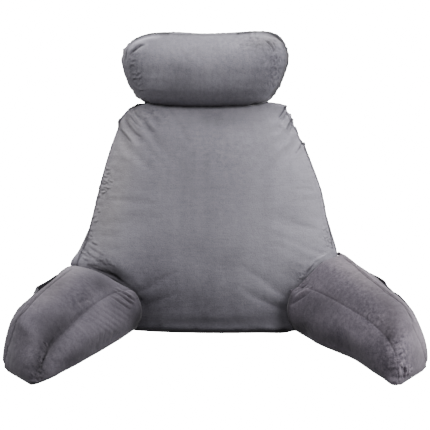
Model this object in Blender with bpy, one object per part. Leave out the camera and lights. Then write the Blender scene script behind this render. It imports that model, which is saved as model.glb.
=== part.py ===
# Reading pillow with arms: a boxed back cushion, two boxed arms sewn to its sides,
# a fat neck roll that lies on its top, and a patch pocket on the outside of each arm.
# Metres, +Z up. The front faces -Y, the floor is z = 0, and the origin is in the middle
# of the back cushion's flat foot. "Left" is the left as seen from the front (-X).

import math

import bmesh
import bpy
from mathutils import Vector

# ---------------------------------------------------------------- driving dimensions

GAP = 0.0003                 # between pieces that touch
CLEARANCE = 0.00036          # how far a cutter is swollen to leave that gap
SEAM_ROUND = 0.005           # height of the rounded edge round every foot
BOXING_ARCH = 0.7            # 1 arches the boxing strips like a sine, less is squarer
CURVE_STEPS = 12             # straight runs between two points of a smooth curve

# How square a panel's swell is, across and upward: 2 is round, 6 is flat with tight edges
FULLNESS = {
    "back_front": (2.6, 2.6),
    "back_rear": (3.0, 3.0),
    "arm_inner": (4.0, 2.2),
    "arm_outer": (6.0, 2.2),
    "roll": (5.0, 2.0),
}

# How much closer together the grid's lines are at the edges, across and upward
GRID_EASE = {
    "back": (0.35, 0.55),
    "arm": (0.25, 0.30),
    "roll": (0.80, 1.00),
}

# Back cushion. Its front panel leans back, its rear panel is almost upright.
BACK_FRONT_FOOT = -0.112     # y of the front seam at the floor
BACK_FRONT_LEAN = math.radians(18.7)
BACK_FOOT_BELLY = 0.010      # the foot of the front panel bows forward between the arms
BACK_REAR_FOOT = 0.132
BACK_REAR_LEAN = math.radians(1.5)
BACK_FRONT_CROWN = 0.036
BACK_REAR_CROWN = 0.022
BACK_SIDE_BULGE = 0.005      # how far the boxing between the panels stands out
BACK_TOP_BULGE = 0.003
BACK_REAR_DRAWN_IN = 0.012   # the rear panel is cut this much narrower on either side
BACK_REAR_HEIGHT = 0.93      # and this share of the front panel's height

# height of the seam above the floor, and its distance out to the left and to the right
BACK_SEAM = [
    # height, out_left, out_right
    (0.005, 0.244, 0.220),
    (0.045, 0.268, 0.238),
    (0.095, 0.274, 0.240),
    (0.130, 0.264, 0.236),
    (0.160, 0.247, 0.226),
    (0.200, 0.234, 0.213),
    (0.250, 0.222, 0.203),
    (0.305, 0.207, 0.180),
    (0.350, 0.192, 0.161),
    (0.385, 0.180, 0.143),
    (0.402, 0.165, 0.135),
    (0.409, 0.151, 0.133),
    (0.414, 0.128, 0.100),
]
BACK_TOP_DIPS = [
    # share of the top edge, how far it dips there under the neck roll
    (0.15, 0.007),
    (0.50, 0.009),
    (0.85, 0.007),
]
BACK_COLUMNS, BACK_LEVELS, BACK_BOXING_ROWS = 26, 24, 6

# Arms. Each is set out in its own plan: "along" runs from the front corner of the back
# cushion to the tip, "out" is measured square to that, away from the lap.
ARM_CORNER_X = 0.151         # where the inner side of an arm leaves the back cushion
ARM_CORNER_Y = -0.105
ARM_SPLAY = {"left": math.radians(28.9), "right": math.radians(29.7)}
ARM_ROOT = -0.100            # along, inside the back cushion
ARM_INNER_TIP = 0.308
ARM_OUTER_TIP = 0.269
ARM_INNER_LEAD = 0.004       # the inner seam runs this much further forward
ARM_INNER_CROWN = 0.019
ARM_OUTER_CROWN = 0.030
ARM_NOSE_BULGE = 0.002       # at the foot of the nose; above it, it grows to the top's
NOSE_BULGE_RISE = 0.6        # 1 grows evenly, less grows faster near the foot
ARM_FOOT_STATIONS = (-0.03, 0.0, 0.03, 0.06, 0.09, 0.12, 0.15, 0.18, 0.21, 0.24, 0.27)
ARM_NOSE_CURVE = [
    # share of the nose's height, share of its reach
    (0.35, 0.92),
    (0.70, 0.62),
]

# The inner seam's height, where the outer seam runs, how far out the outer foot is, how
# high the boxing swells between the seams, and how far out the inner seam lies
ARM_SEAMS = {
    "left": [
        # along, inner_height, outer_out, outer_height, foot_out, top_bulge, inner_out
        (-0.100, 0.086, 0.114, 0.112, 0.116, 0.007, -0.004),
        (0.000, 0.088, 0.112, 0.117, 0.116, 0.009, -0.002),
        (0.050, 0.093, 0.108, 0.123, 0.115, 0.014, 0.004),
        (0.100, 0.091, 0.093, 0.124, 0.104, 0.021, 0.007),
        (0.150, 0.083, 0.083, 0.122, 0.096, 0.024, 0.008),
        (0.200, 0.071, 0.075, 0.115, 0.094, 0.025, 0.008),
        (0.240, 0.056, 0.070, 0.107, 0.099, 0.026, 0.008),
        (0.266, 0.036, 0.066, 0.092, 0.098, 0.023, 0.008),
    ],
    "right": [
        (-0.100, 0.090, 0.104, 0.140, 0.114, 0.007, -0.004),
        (0.000, 0.091, 0.100, 0.139, 0.114, 0.010, -0.002),
        (0.050, 0.095, 0.094, 0.133, 0.113, 0.014, 0.005),
        (0.100, 0.094, 0.088, 0.128, 0.107, 0.019, 0.008),
        (0.150, 0.092, 0.081, 0.121, 0.100, 0.021, 0.008),
        (0.200, 0.088, 0.072, 0.112, 0.096, 0.020, 0.008),
        (0.240, 0.080, 0.065, 0.101, 0.097, 0.018, 0.008),
        (0.266, 0.070, 0.059, 0.087, 0.096, 0.016, 0.008),
    ],
}
# The foot of the inner panel, soft and a little wavy where it rests
ARM_INNER_FOOT = {
    "left": [
        # along, out
        (-0.100, -0.001), (0.000, -0.004), (0.030, -0.005), (0.060, -0.008), (0.120, -0.010),
        (0.180, -0.010), (0.210, -0.010), (0.240, -0.008), (0.270, -0.008), (0.310, -0.001),
    ],
    "right": [
        (-0.100, -0.004), (0.000, -0.010), (0.030, -0.008), (0.060, -0.008), (0.090, -0.010),
        (0.120, -0.006), (0.150, -0.001), (0.180, 0.003), (0.210, 0.001), (0.240, -0.003),
        (0.270, -0.005), (0.310, 0.000),
    ],
}
ARM_COLUMNS, ARM_LEVELS, ARM_BOXING_ROWS = 22, 10, 7

# Neck roll: two panels joined by one seam, which runs round behind the roll's outline
ROLL_MIDDLE_X = -0.019
ROLL_SEAM_Y = 0.062
ROLL_FRONT_CROWN = 0.074
ROLL_REAR_CROWN = 0.058
ROLL_BOTTOM = 0.396
ROLL_TOP = 0.543
ROLL_TOP_DIP = 0.003         # the top edge sinks between its two shoulders
ROLL_SHOULDERS = (0.2, 0.8)  # where they are, as shares of the top edge
ROLL_SEAM = [
    # height, out_left, out_right
    (0.396, 0.078, 0.088),
    (0.405, 0.102, 0.109),
    (0.416, 0.130, 0.129),
    (0.437, 0.146, 0.144),
    (0.467, 0.156, 0.153),
    (0.492, 0.160, 0.159),
    (0.513, 0.154, 0.155),
    (0.532, 0.132, 0.146),
    (0.541, 0.102, 0.126),
]
ROLL_COLUMNS, ROLL_LEVELS = 26, 14

# Patch pockets on the outer side of each arm, stitched at the foot and at both ends
POCKET_CLOTH = 0.0016
POCKET_SEAT = 0.0008         # clear of the arm along the stitched edges
POCKET_SPAN = (9, 19)        # which columns of the arm's outer panel it covers
POCKET_RISE = (1, 8)         # and which levels, from its foot to its mouth
POCKET_LIFT_OFF = 1.5        # 1 opens evenly from foot to mouth, more opens near the mouth
POCKET_GAPE = {
    # share of the mouth's length, how far it stands open there
    "left": [(0.0, 0.0), (0.1, 0.006), (0.2, 0.010), (0.3, 0.013), (0.4, 0.016),
             (0.5, 0.005), (0.6, 0.002), (1.0, 0.0)],
    "right": [(0.0, 0.0), (0.1, 0.007), (0.2, 0.012), (0.3, 0.011), (0.4, 0.005),
              (0.6, 0.004), (0.7, 0.006), (0.8, 0.003), (1.0, 0.0)],
}

# Folds that show from a step away: each is a straight trough (or a ridge, where its
# height is above nought), set out as it is seen from the front
FOLDS = {
    "back_cushion": [
        # start_x, start_z, end_x, end_z, height, half_width
        (-0.137, 0.407, -0.112, 0.384, -0.0040, 0.006),
        (-0.154, 0.400, -0.124, 0.364, -0.0050, 0.007),
        (-0.174, 0.390, -0.146, 0.350, -0.0045, 0.008),
        (-0.183, 0.366, -0.166, 0.332, -0.0035, 0.008),
        (0.130, 0.405, 0.110, 0.386, -0.0045, 0.006),
        (0.142, 0.394, 0.117, 0.366, -0.0050, 0.006),
        (0.150, 0.376, 0.126, 0.346, -0.0045, 0.007),
        (0.162, 0.354, 0.138, 0.322, -0.0040, 0.008),
    ],
}
FOLD_ZONES = (2.3, 1.7)      # the mesh is halved within this many half widths of a fold
FOLD_FACING = -0.1           # folds lie on faces whose outward y is below this

COLOURS = {
    # linear red, green, blue, roughness
    "back_cushion": ((0.235, 0.230, 0.250), 0.85),
    "neck_roll": ((0.245, 0.240, 0.262), 0.85),
    "arm_left": ((0.180, 0.168, 0.178), 0.85),
    "arm_right": ((0.200, 0.180, 0.192), 0.85),
    "pocket_left": ((0.060, 0.056, 0.062), 0.90),
    "pocket_right": ((0.060, 0.056, 0.062), 0.90),
}


# ---------------------------------------------------------------- small tools

def clear_scene():
    for item in list(bpy.data.objects):
        bpy.data.objects.remove(item, do_unlink=True)


def spread(count, ease):
    # count + 1 steps from 0 to 1; ease 0 is even, ease 1 is closest at both ends
    steps = []
    for i in range(count + 1):
        t = i / count
        steps.append((1 - ease) * t + ease * (1 - math.cos(math.pi * t)) / 2)
    return steps


def smooth_curve(points, steps):
    # A smooth curve through the points, read at the given shares of its length
    dense = []
    last = len(points) - 1
    for i in range(last):
        p0, p1 = points[max(i - 1, 0)], points[i]
        p2, p3 = points[i + 1], points[min(i + 2, last)]
        for k in range(CURVE_STEPS):
            t = k / CURVE_STEPS
            dense.append(0.5 * (2 * p1 + (p2 - p0) * t
                                + (2 * p0 - 5 * p1 + 4 * p2 - p3) * t ** 2
                                + (3 * p1 - p0 - 3 * p2 + p3) * t ** 3))
    dense.append(points[-1])
    run = [0.0]
    for a, b in zip(dense, dense[1:]):
        run.append(run[-1] + (b - a).length)
    found = []
    k = 0
    for step in steps:
        want = step * run[-1]
        while k < len(run) - 2 and run[k + 1] < want:
            k += 1
        part = (want - run[k]) / max(run[k + 1] - run[k], 1e-9)
        found.append(dense[k].lerp(dense[k + 1], min(max(part, 0.0), 1.0)))
    return found


def look_up(rows, key, column):
    # One column of a table, read between its rows by the first column
    for low, high in zip(rows, rows[1:]):
        if key <= high[0]:
            part = max((key - low[0]) / (high[0] - low[0]), 0.0)
            return low[column] + part * (high[column] - low[column])
    return rows[-1][column]


def patch(bottom, right, top, left):
    # A four-sided sheet of points stretched between its four edges
    columns, levels = len(bottom) - 1, len(left) - 1
    sheet = []
    for j in range(levels + 1):
        row = []
        v = j / levels
        for i in range(columns + 1):
            u = i / columns
            across = left[j].lerp(right[j], u)
            upward = bottom[i].lerp(top[i], v)
            corners = bottom[0].lerp(bottom[-1], u).lerp(top[0].lerp(top[-1], u), v)
            row.append(across + upward - corners)
        sheet.append(row)
    return sheet


def crown(sheet, direction, height, fullness):
    # Swell a sheet along one direction; its edges stay where they are sewn
    side_power, end_power = fullness
    levels, columns = len(sheet) - 1, len(sheet[0]) - 1
    width = [abs(2 * share(sheet[levels // 2], i) - 1) for i in range(columns + 1)]
    middle = [row[columns // 2] for row in sheet]
    rise = [abs(2 * share(middle, j) - 1) for j in range(levels + 1)]
    for j in range(levels + 1):
        for i in range(columns + 1):
            swell = (1 - width[i] ** side_power) * (1 - rise[j] ** end_power)
            sheet[j][i] = sheet[j][i] + direction * height * math.sqrt(max(swell, 0.0))


def share(line, index):
    # How far along a line of points one of them is, from 0 to 1
    lengths = [(b - a).length for a, b in zip(line, line[1:])]
    return sum(lengths[:index]) / sum(lengths)


def rim(sheet):
    # The sheet's edge points in order: foot, right, top, left
    foot = sheet[0][:-1]
    right = [row[-1] for row in sheet[:-1]]
    top = list(reversed(sheet[-1][1:]))
    left = [row[0] for row in reversed(sheet[1:])]
    return foot + right + top + left


def add_sheet(bm, sheet):
    grid = [[bm.verts.new(point) for point in row] for row in sheet]
    for low, high in zip(grid, grid[1:]):
        for i in range(len(low) - 1):
            bm.faces.new((low[i], low[i + 1], high[i + 1], high[i]))
    return grid


def boxed(name, near, far, rows, bulge):
    # Two panels and the boxing strip sewn between them. bulge(index, turn) gives the
    # outward shift of the strip at one point of the rim, turn running 0 to 1 across it.
    bm = bmesh.new()
    near_grid = add_sheet(bm, near)
    far_grid = add_sheet(bm, far)
    loops = [rim(near_grid)]
    far_loop = rim(far_grid)
    for k in range(1, rows):
        turn = k / rows
        ring = []
        for index, vert in enumerate(loops[0]):
            point = vert.co.lerp(far_loop[index].co, turn) + bulge(index, turn)
            ring.append(bm.verts.new(point))
        loops.append(ring)
    loops.append(far_loop)
    count = len(far_loop)
    for one, other in zip(loops, loops[1:]):
        for index in range(count):
            following = (index + 1) % count
            bm.faces.new((one[index], other[index], other[following], one[following]))
    return finish(name, bm)


def finish(name, bm):
    bmesh.ops.remove_doubles(bm, verts=bm.verts, dist=0.00002)
    bmesh.ops.recalc_face_normals(bm, faces=bm.faces)
    if name in FOLDS:
        raise_folds(bm, FOLDS[name])
    bmesh.ops.triangulate(bm, faces=bm.faces)
    mesh = bpy.data.meshes.new(name)
    bm.to_mesh(mesh)
    bm.free()
    mesh.shade_smooth()
    item = bpy.data.objects.new(name, mesh)
    bpy.context.scene.collection.objects.link(item)
    colour, roughness = COLOURS[name]
    item.data.materials.append(cloth_material(name + "_velour", colour, roughness))
    return item


def cloth_material(name, colour, roughness):
    material = bpy.data.materials.new(name)
    material.use_nodes = True
    shader = material.node_tree.nodes["Principled BSDF"]
    shader.inputs["Base Color"].default_value = (*colour, 1.0)
    shader.inputs["Roughness"].default_value = roughness
    shader.inputs["Metallic"].default_value = 0.0
    return material


def off_fold(point, fold):
    # Distance from a fold's line, as seen from the front, in half widths
    start_x, start_z, end_x, end_z, _, half_width = fold
    line = Vector((end_x - start_x, end_z - start_z))
    from_start = Vector((point.x - start_x, point.z - start_z))
    along = from_start.dot(line) / line.length_squared
    return (from_start - line * min(max(along, 0.0), 1.0)).length / half_width


def raise_folds(bm, folds):
    # Refine the front of the mesh near the folds, then push its points in or out
    for zone in FOLD_ZONES:
        bm.normal_update()
        near = {vert for vert in bm.verts if vert.normal.y < FOLD_FACING
                and min(off_fold(vert.co, fold) for fold in folds) < zone}
        edges = [edge for edge in bm.edges if near.issuperset(edge.verts)]
        bmesh.ops.subdivide_edges(bm, edges=edges, cuts=1, use_grid_fill=True)
    bm.normal_update()
    shifts = {}
    for vert in bm.verts:
        if vert.normal.y < FOLD_FACING:
            rise = sum(fold[4] * math.exp(-off_fold(vert.co, fold) ** 2) for fold in folds)
            shifts[vert] = vert.normal * rise
    for vert, shift in shifts.items():
        vert.co += shift


def settle(item):
    # Flatten what would be under the floor
    for vert in item.data.vertices:
        vert.co.z = max(vert.co.z, 0.0)


def cut_clear(item, neighbour):
    # Cut a piece clear of its neighbour by GAP, with a swollen copy of the neighbour
    cutter = bpy.data.objects.get(neighbour.name + "_clearance")
    if cutter is None:
        mesh = neighbour.data.copy()
        cutter = bpy.data.objects.new(neighbour.name + "_clearance", mesh)
        bpy.context.scene.collection.objects.link(cutter)
        moves = [vert.normal * CLEARANCE for vert in mesh.vertices]
        for vert, move in zip(mesh.vertices, moves):
            vert.co += move
        cutter.hide_render = True
        cutter.display_type = "WIRE"
    trim = item.modifiers.new("clear_of_" + neighbour.name, "BOOLEAN")
    trim.operation = "DIFFERENCE"
    trim.solver = "EXACT"
    trim.object = cutter


# ---------------------------------------------------------------- back cushion

def make_back():
    across_ease, up_ease = GRID_EASE["back"]
    levels = spread(BACK_LEVELS, up_ease)
    columns = spread(BACK_COLUMNS, across_ease)

    def seam_point(height, out, foot, lean):
        return Vector((out, foot + height * math.tan(lean), height))

    def panel(foot, lean, drawn_in, scale, belly):
        left = []
        right = []
        for height, out_left, out_right in BACK_SEAM:
            left.append(seam_point(height * scale, -out_left + drawn_in, foot, lean))
            right.append(seam_point(height * scale, out_right - drawn_in, foot, lean))
        top = [left[-1]]
        for place, dip in BACK_TOP_DIPS:
            top.append(left[-1].lerp(right[-1], place) - Vector((0.0, 0.0, dip)))
        top.append(right[-1])
        middle = left[0].lerp(right[0], 0.5) - Vector((0.0, belly, 0.0))
        foot_edge = [left[0], left[0].lerp(middle, 0.5), middle,
                     right[0].lerp(middle, 0.5), right[0]]
        for point in (foot_edge[1], foot_edge[3]):
            point.y -= belly / 3
        return patch(smooth_curve(foot_edge, columns), smooth_curve(right, levels),
                     smooth_curve(top, columns), smooth_curve(left, levels))

    front = panel(BACK_FRONT_FOOT, BACK_FRONT_LEAN, 0.0, 1.0, BACK_FOOT_BELLY)
    rear = panel(BACK_REAR_FOOT, -BACK_REAR_LEAN, BACK_REAR_DRAWN_IN, BACK_REAR_HEIGHT, 0.0)
    crown(front, Vector((0.0, -math.cos(BACK_FRONT_LEAN), math.sin(BACK_FRONT_LEAN))),
          BACK_FRONT_CROWN, FULLNESS["back_front"])
    crown(rear, Vector((0.0, 1.0, 0.0)), BACK_REAR_CROWN, FULLNESS["back_rear"])

    edge = rim(front)
    outward = outward_of(edge, Vector((0.0, 1.0, 0.0)))

    def bulge(index, turn):
        if index <= BACK_COLUMNS:
            return Vector((0.0, 0.0, -SEAM_ROUND))
        on_top = BACK_COLUMNS + BACK_LEVELS <= index <= 2 * BACK_COLUMNS + BACK_LEVELS
        depth = BACK_TOP_BULGE if on_top else BACK_SIDE_BULGE
        return outward[index] * depth * math.sin(math.pi * turn) ** BOXING_ARCH

    back = boxed("back_cushion", front, rear, BACK_BOXING_ROWS, bulge)
    settle(back)
    return back


def outward_of(edge, axis):
    # The direction out of a flat outline at each of its points, square to the axis
    count = len(edge)
    middle = sum(edge, Vector()) / count
    found = []
    for index in range(count):
        tangent = edge[(index + 1) % count] - edge[index - 1]
        normal = tangent.cross(axis).normalized()
        if normal.dot(edge[index] - middle) < 0:
            normal = -normal
        found.append(normal)
    return found


# ---------------------------------------------------------------- arms

def arm_plan(side):
    # A function from along, out and height to a place in the room
    hand = -1.0 if side == "left" else 1.0
    splay = ARM_SPLAY[side]
    corner = Vector((hand * ARM_CORNER_X, ARM_CORNER_Y, 0.0))
    along_dir = Vector((hand * math.sin(splay), -math.cos(splay), 0.0))
    out_dir = Vector((hand * math.cos(splay), math.sin(splay), 0.0))

    def place(along, out, height):
        return corner + along_dir * along + out_dir * out + Vector((0.0, 0.0, height))

    return place, along_dir, out_dir


def make_arm(side):
    place, along_dir, out_dir = arm_plan(side)
    rows = ARM_SEAMS[side]
    across_ease, up_ease = GRID_EASE["arm"]
    levels = spread(ARM_LEVELS, up_ease)
    columns = spread(ARM_COLUMNS, across_ease)
    start = place(0.0, 0.0, 0.0)

    def panel(tip, top, foot_out):
        stations = (ARM_ROOT, *ARM_FOOT_STATIONS, tip)
        foot_edge = [place(along, foot_out(along), SEAM_ROUND) for along in stations]
        head = top[-1] - start
        head_along, head_out = head.dot(along_dir), head.dot(out_dir)
        nose = [foot_edge[-1]]
        for lift, reach in ARM_NOSE_CURVE:
            along = head_along + (tip - head_along) * reach
            out = foot_out(tip) + (head_out - foot_out(tip)) * lift
            nose.append(place(along, out, SEAM_ROUND + (head.z - SEAM_ROUND) * lift))
        nose.append(top[-1])
        root = [foot_edge[0], top[0]]
        return patch(smooth_curve(foot_edge, columns), smooth_curve(nose, levels),
                     smooth_curve(top, columns), smooth_curve(root, levels))

    inner_top = [place(row[0] + ARM_INNER_LEAD, row[6], row[1]) for row in rows]
    outer_top = [place(row[0], row[2], row[3]) for row in rows]
    inner = panel(ARM_INNER_TIP, inner_top,
                  lambda along: look_up(ARM_INNER_FOOT[side], along, 1))
    outer = panel(ARM_OUTER_TIP, outer_top, lambda along: look_up(rows, along, 4))
    crown(inner, -out_dir, ARM_INNER_CROWN, FULLNESS["arm_inner"])
    crown(outer, out_dir, ARM_OUTER_CROWN, FULLNESS["arm_outer"])

    edge = rim(inner)
    outward = outward_of(edge, out_dir)
    nose_start, top_start = ARM_COLUMNS, ARM_COLUMNS + ARM_LEVELS
    top_end = top_start + ARM_COLUMNS

    def bulge(index, turn):
        if index <= nose_start:
            return Vector((0.0, 0.0, -SEAM_ROUND))
        if index > top_end:
            return Vector()
        if index < top_start:
            up = ((index - nose_start) / ARM_LEVELS) ** NOSE_BULGE_RISE
            depth = ARM_NOSE_BULGE + (rows[-1][5] - ARM_NOSE_BULGE) * up
        else:
            depth = look_up(rows, (edge[index] - start).dot(along_dir), 5)
        return outward[index] * depth * math.sin(math.pi * turn) ** BOXING_ARCH

    arm = boxed("arm_" + side, inner, outer, ARM_BOXING_ROWS, bulge)
    settle(arm)
    return arm, outer


# ---------------------------------------------------------------- neck roll

def make_roll():
    def seam_point(height, out):
        return Vector((ROLL_MIDDLE_X + out, ROLL_SEAM_Y, height))

    left = [seam_point(height, -out_left) for height, out_left, _ in ROLL_SEAM]
    right = [seam_point(height, out_right) for height, _, out_right in ROLL_SEAM]
    shoulders = [left[-1].lerp(right[-1], place) for place in ROLL_SHOULDERS]
    for point in shoulders:
        point.z = ROLL_TOP
    top = [left[-1], shoulders[0], seam_point(ROLL_TOP - ROLL_TOP_DIP, 0.0), shoulders[1],
           right[-1]]
    foot = [left[0], seam_point(ROLL_BOTTOM, 0.0), right[0]]
    across_ease, up_ease = GRID_EASE["roll"]
    levels = spread(ROLL_LEVELS, up_ease)
    columns = spread(ROLL_COLUMNS, across_ease)

    def panel():
        return patch(smooth_curve(foot, columns), smooth_curve(right, levels),
                     smooth_curve(top, columns), smooth_curve(left, levels))

    front = panel()
    rear = panel()
    crown(front, Vector((0.0, -1.0, 0.0)), ROLL_FRONT_CROWN, FULLNESS["roll"])
    crown(rear, Vector((0.0, 1.0, 0.0)), ROLL_REAR_CROWN, FULLNESS["roll"])
    bm = bmesh.new()
    add_sheet(bm, front)
    add_sheet(bm, rear)
    return finish("neck_roll", bm)


# ---------------------------------------------------------------- pockets

def make_pocket(side, arm_panel):
    # A sheet laid against the arm's outer panel: stitched close to it at the foot and at
    # both ends, and standing open along its upper edge
    out_dir = arm_plan(side)[2]
    first, last = POCKET_SPAN
    foot, mouth = POCKET_RISE

    def sheet(extra):
        rows = []
        for j in range(foot, mouth + 1):
            up = ((j - foot) / (mouth - foot)) ** POCKET_LIFT_OFF
            row = []
            for i in range(first, last + 1):
                gape = look_up(POCKET_GAPE[side], (i - first) / (last - first), 1) * up
                row.append(arm_panel[j][i] + out_dir * (POCKET_SEAT + gape + extra))
            rows.append(row)
        return rows

    return boxed("pocket_" + side, sheet(0.0), sheet(POCKET_CLOTH), 1,
                 lambda index, turn: Vector())


# ---------------------------------------------------------------- assembly

clear_scene()
back_cushion = make_back()
neck_roll = make_roll()
cut_clear(neck_roll, back_cushion)
for arm_side in ("left", "right"):
    arm_piece, outer_panel = make_arm(arm_side)
    make_pocket(arm_side, outer_panel)
    cut_clear(arm_piece, back_cushion)
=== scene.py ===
import math
import bmesh
import bpy
import numpy as np
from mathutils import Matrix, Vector
from mathutils.bvhtree import BVHTree
from mathutils.kdtree import KDTree


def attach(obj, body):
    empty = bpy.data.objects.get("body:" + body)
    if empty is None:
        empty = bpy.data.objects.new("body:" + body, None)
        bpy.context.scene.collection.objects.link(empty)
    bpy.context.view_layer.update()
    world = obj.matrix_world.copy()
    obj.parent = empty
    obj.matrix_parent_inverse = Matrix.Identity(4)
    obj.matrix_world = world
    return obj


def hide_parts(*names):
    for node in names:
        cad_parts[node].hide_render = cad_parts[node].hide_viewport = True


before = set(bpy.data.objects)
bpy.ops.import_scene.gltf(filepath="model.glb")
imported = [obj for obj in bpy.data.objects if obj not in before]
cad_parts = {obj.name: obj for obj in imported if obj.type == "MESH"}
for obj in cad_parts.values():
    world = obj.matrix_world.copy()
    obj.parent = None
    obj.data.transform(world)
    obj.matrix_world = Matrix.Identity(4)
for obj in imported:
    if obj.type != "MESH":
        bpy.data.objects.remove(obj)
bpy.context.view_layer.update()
scene = bpy.context.scene
print("frame loaded")


def selectOnly(item):
    if bpy.context.mode != "OBJECT":
        bpy.ops.object.mode_set(mode="OBJECT")
    bpy.ops.object.select_all(action="DESELECT")
    item.select_set(True)
    bpy.context.view_layer.objects.active = item


# the camera comes first, because the creases are placed through it

cameraLook = {
    "place": Vector((0.0, -2.2, 0.78)),
    "target": Vector((0.0, 0.0, 0.1983)),
    "focal": 1181.0,      # in pixels of the 430 pixel picture
    "picture": 430.0,
    "sensor": 36.0,
    "farthest": 60.0,
}

bpy.ops.object.camera_add(location=cameraLook["place"])
camera = bpy.context.object
camera.name = "studioCamera"
lineOfSight = (cameraLook["target"] - cameraLook["place"]).normalized()
camera.rotation_euler = lineOfSight.to_track_quat("-Z", "Y").to_euler()
camera.data.sensor_width = cameraLook["sensor"]
camera.data.lens = cameraLook["focal"] / cameraLook["picture"] * cameraLook["sensor"]
camera.data.clip_end = cameraLook["farthest"]
scene.camera = camera

sightRight = lineOfSight.cross(Vector((0.0, 0.0, 1.0))).normalized()
sightUp = sightRight.cross(lineOfSight)
halfPicture = cameraLook["picture"] / 2


def sightLine(x, y):
    # the direction from the camera through one point of the picture
    aim = lineOfSight + sightRight * ((x - halfPicture) / cameraLook["focal"])
    return (aim - sightUp * ((y - halfPicture) / cameraLook["focal"])).normalized()


def pictureOf(points):
    # where points of the model show in the picture
    seen = points - np.array(cameraLook["place"])
    scale = cameraLook["focal"] / (seen @ np.array(lineOfSight))
    return np.stack([halfPicture + scale * (seen @ np.array(sightRight)),
                     halfPicture - scale * (seen @ np.array(sightUp))], axis=1)


# materials

def hexColour(text):
    # sRGB hex to the linear values that Blender's sockets take
    parts = [int(text[i:i + 2], 16) / 255 for i in (1, 3, 5)]
    linear = [c / 12.92 if c <= 0.04045 else ((c + 0.055) / 1.055) ** 2.4 for c in parts]
    return (*linear, 1.0)


def addNode(tree, kind, settings=None, links=None):
    # one node with its settings, by attribute or by socket, and what feeds its sockets
    node = tree.nodes.new(kind)
    for key, value in (settings or {}).items():
        if isinstance(key, str) and hasattr(node, key):
            setattr(node, key, value)
        else:
            node.inputs[key].default_value = value
    for key, source in (links or {}).items():
        tree.links.new(source, node.inputs[key])
    return node


# polyester velour, knitted and sheared to a 1.5 mm pile: matt from straight ahead, pale where
# the pile is seen end on, and mottled where it has been crushed. Sizes are in metres: of the
# broad blotches, of the tufts, of the pile itself (drawn at 1.8 mm, as coarse as it needs to
# show), and of the faint lines of the nap, along which it was brushed.
velourBase = {
    "lines": 0.08, "grain": 0.16, "napSize": 0.01, "pileSize": 0.0018,
    "bump": 0.35, "bumpHeight": 0.0012, "roughness": 0.95, "specular": 0.12,
    "sheenRoughness": 0.40, "sheenTint": "#e8e6ec",
    "fadedTint": (1.035, 1.022, 0.962, 1.0),     # a little warmer where daylight fell on it
    "stitchEdge": (0.0004, 0.0025),              # how far a seam's own shade reaches
}
# the dark and pale colours of each look are the ends of the cloth's tone, which carries painted
# light and painted shade as well as the pile's own tone
velourLook = {   # "stitch" is how dark a seam is, "drawn" how the blotches are pulled out
    "backVelour": {"laid": "#504d57", "raisedAndLit": "#a9a6b0", "blotch": 0.090, "broad": 0.15,
                   "drawn": (0.045, 0.090, 0.200), "tufts": 0.009, "mottle": 0.34,
                   "nap": (0.030, 0.030, 0.0035), "sheen": 0.45, "stitch": 0.50},
    "rollVelour": {"laid": "#504e58", "raisedAndLit": "#aaa7b1", "blotch": 0.070, "broad": 0.14,
                   "tufts": 0.007, "mottle": 0.50, "nap": (0.004, 0.020, 0.020),
                   "sheen": 0.55, "stitch": 0.30},
    "leftArmVelour": {"laid": "#413e48", "raisedAndLit": "#a29ba5", "blotch": 0.060, "broad": 0.12,
                      "tufts": 0.007, "mottle": 0.28, "nap": (0.012, 0.006, 0.030),
                      "grain": 0.14, "sheen": 0.40, "stitch": 0.75},
    "rightArmVelour": {"laid": "#403d47", "raisedAndLit": "#a59ba6", "blotch": 0.045, "broad": 0.12,
                       "tufts": 0.006, "mottle": 0.46, "nap": (0.006, 0.012, 0.030),
                       "sheen": 0.45, "stitch": 0.80},
    "pocketVelour": {"laid": "#403f46", "raisedAndLit": "#7c7a81", "blotch": 0.040, "broad": 0.20,
                     "tufts": 0.010, "mottle": 0.40, "nap": (0.012, 0.012, 0.004),
                     "lines": 0.10, "grain": 0.14, "sheen": 0.30, "stitch": 0.40},
}


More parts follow.
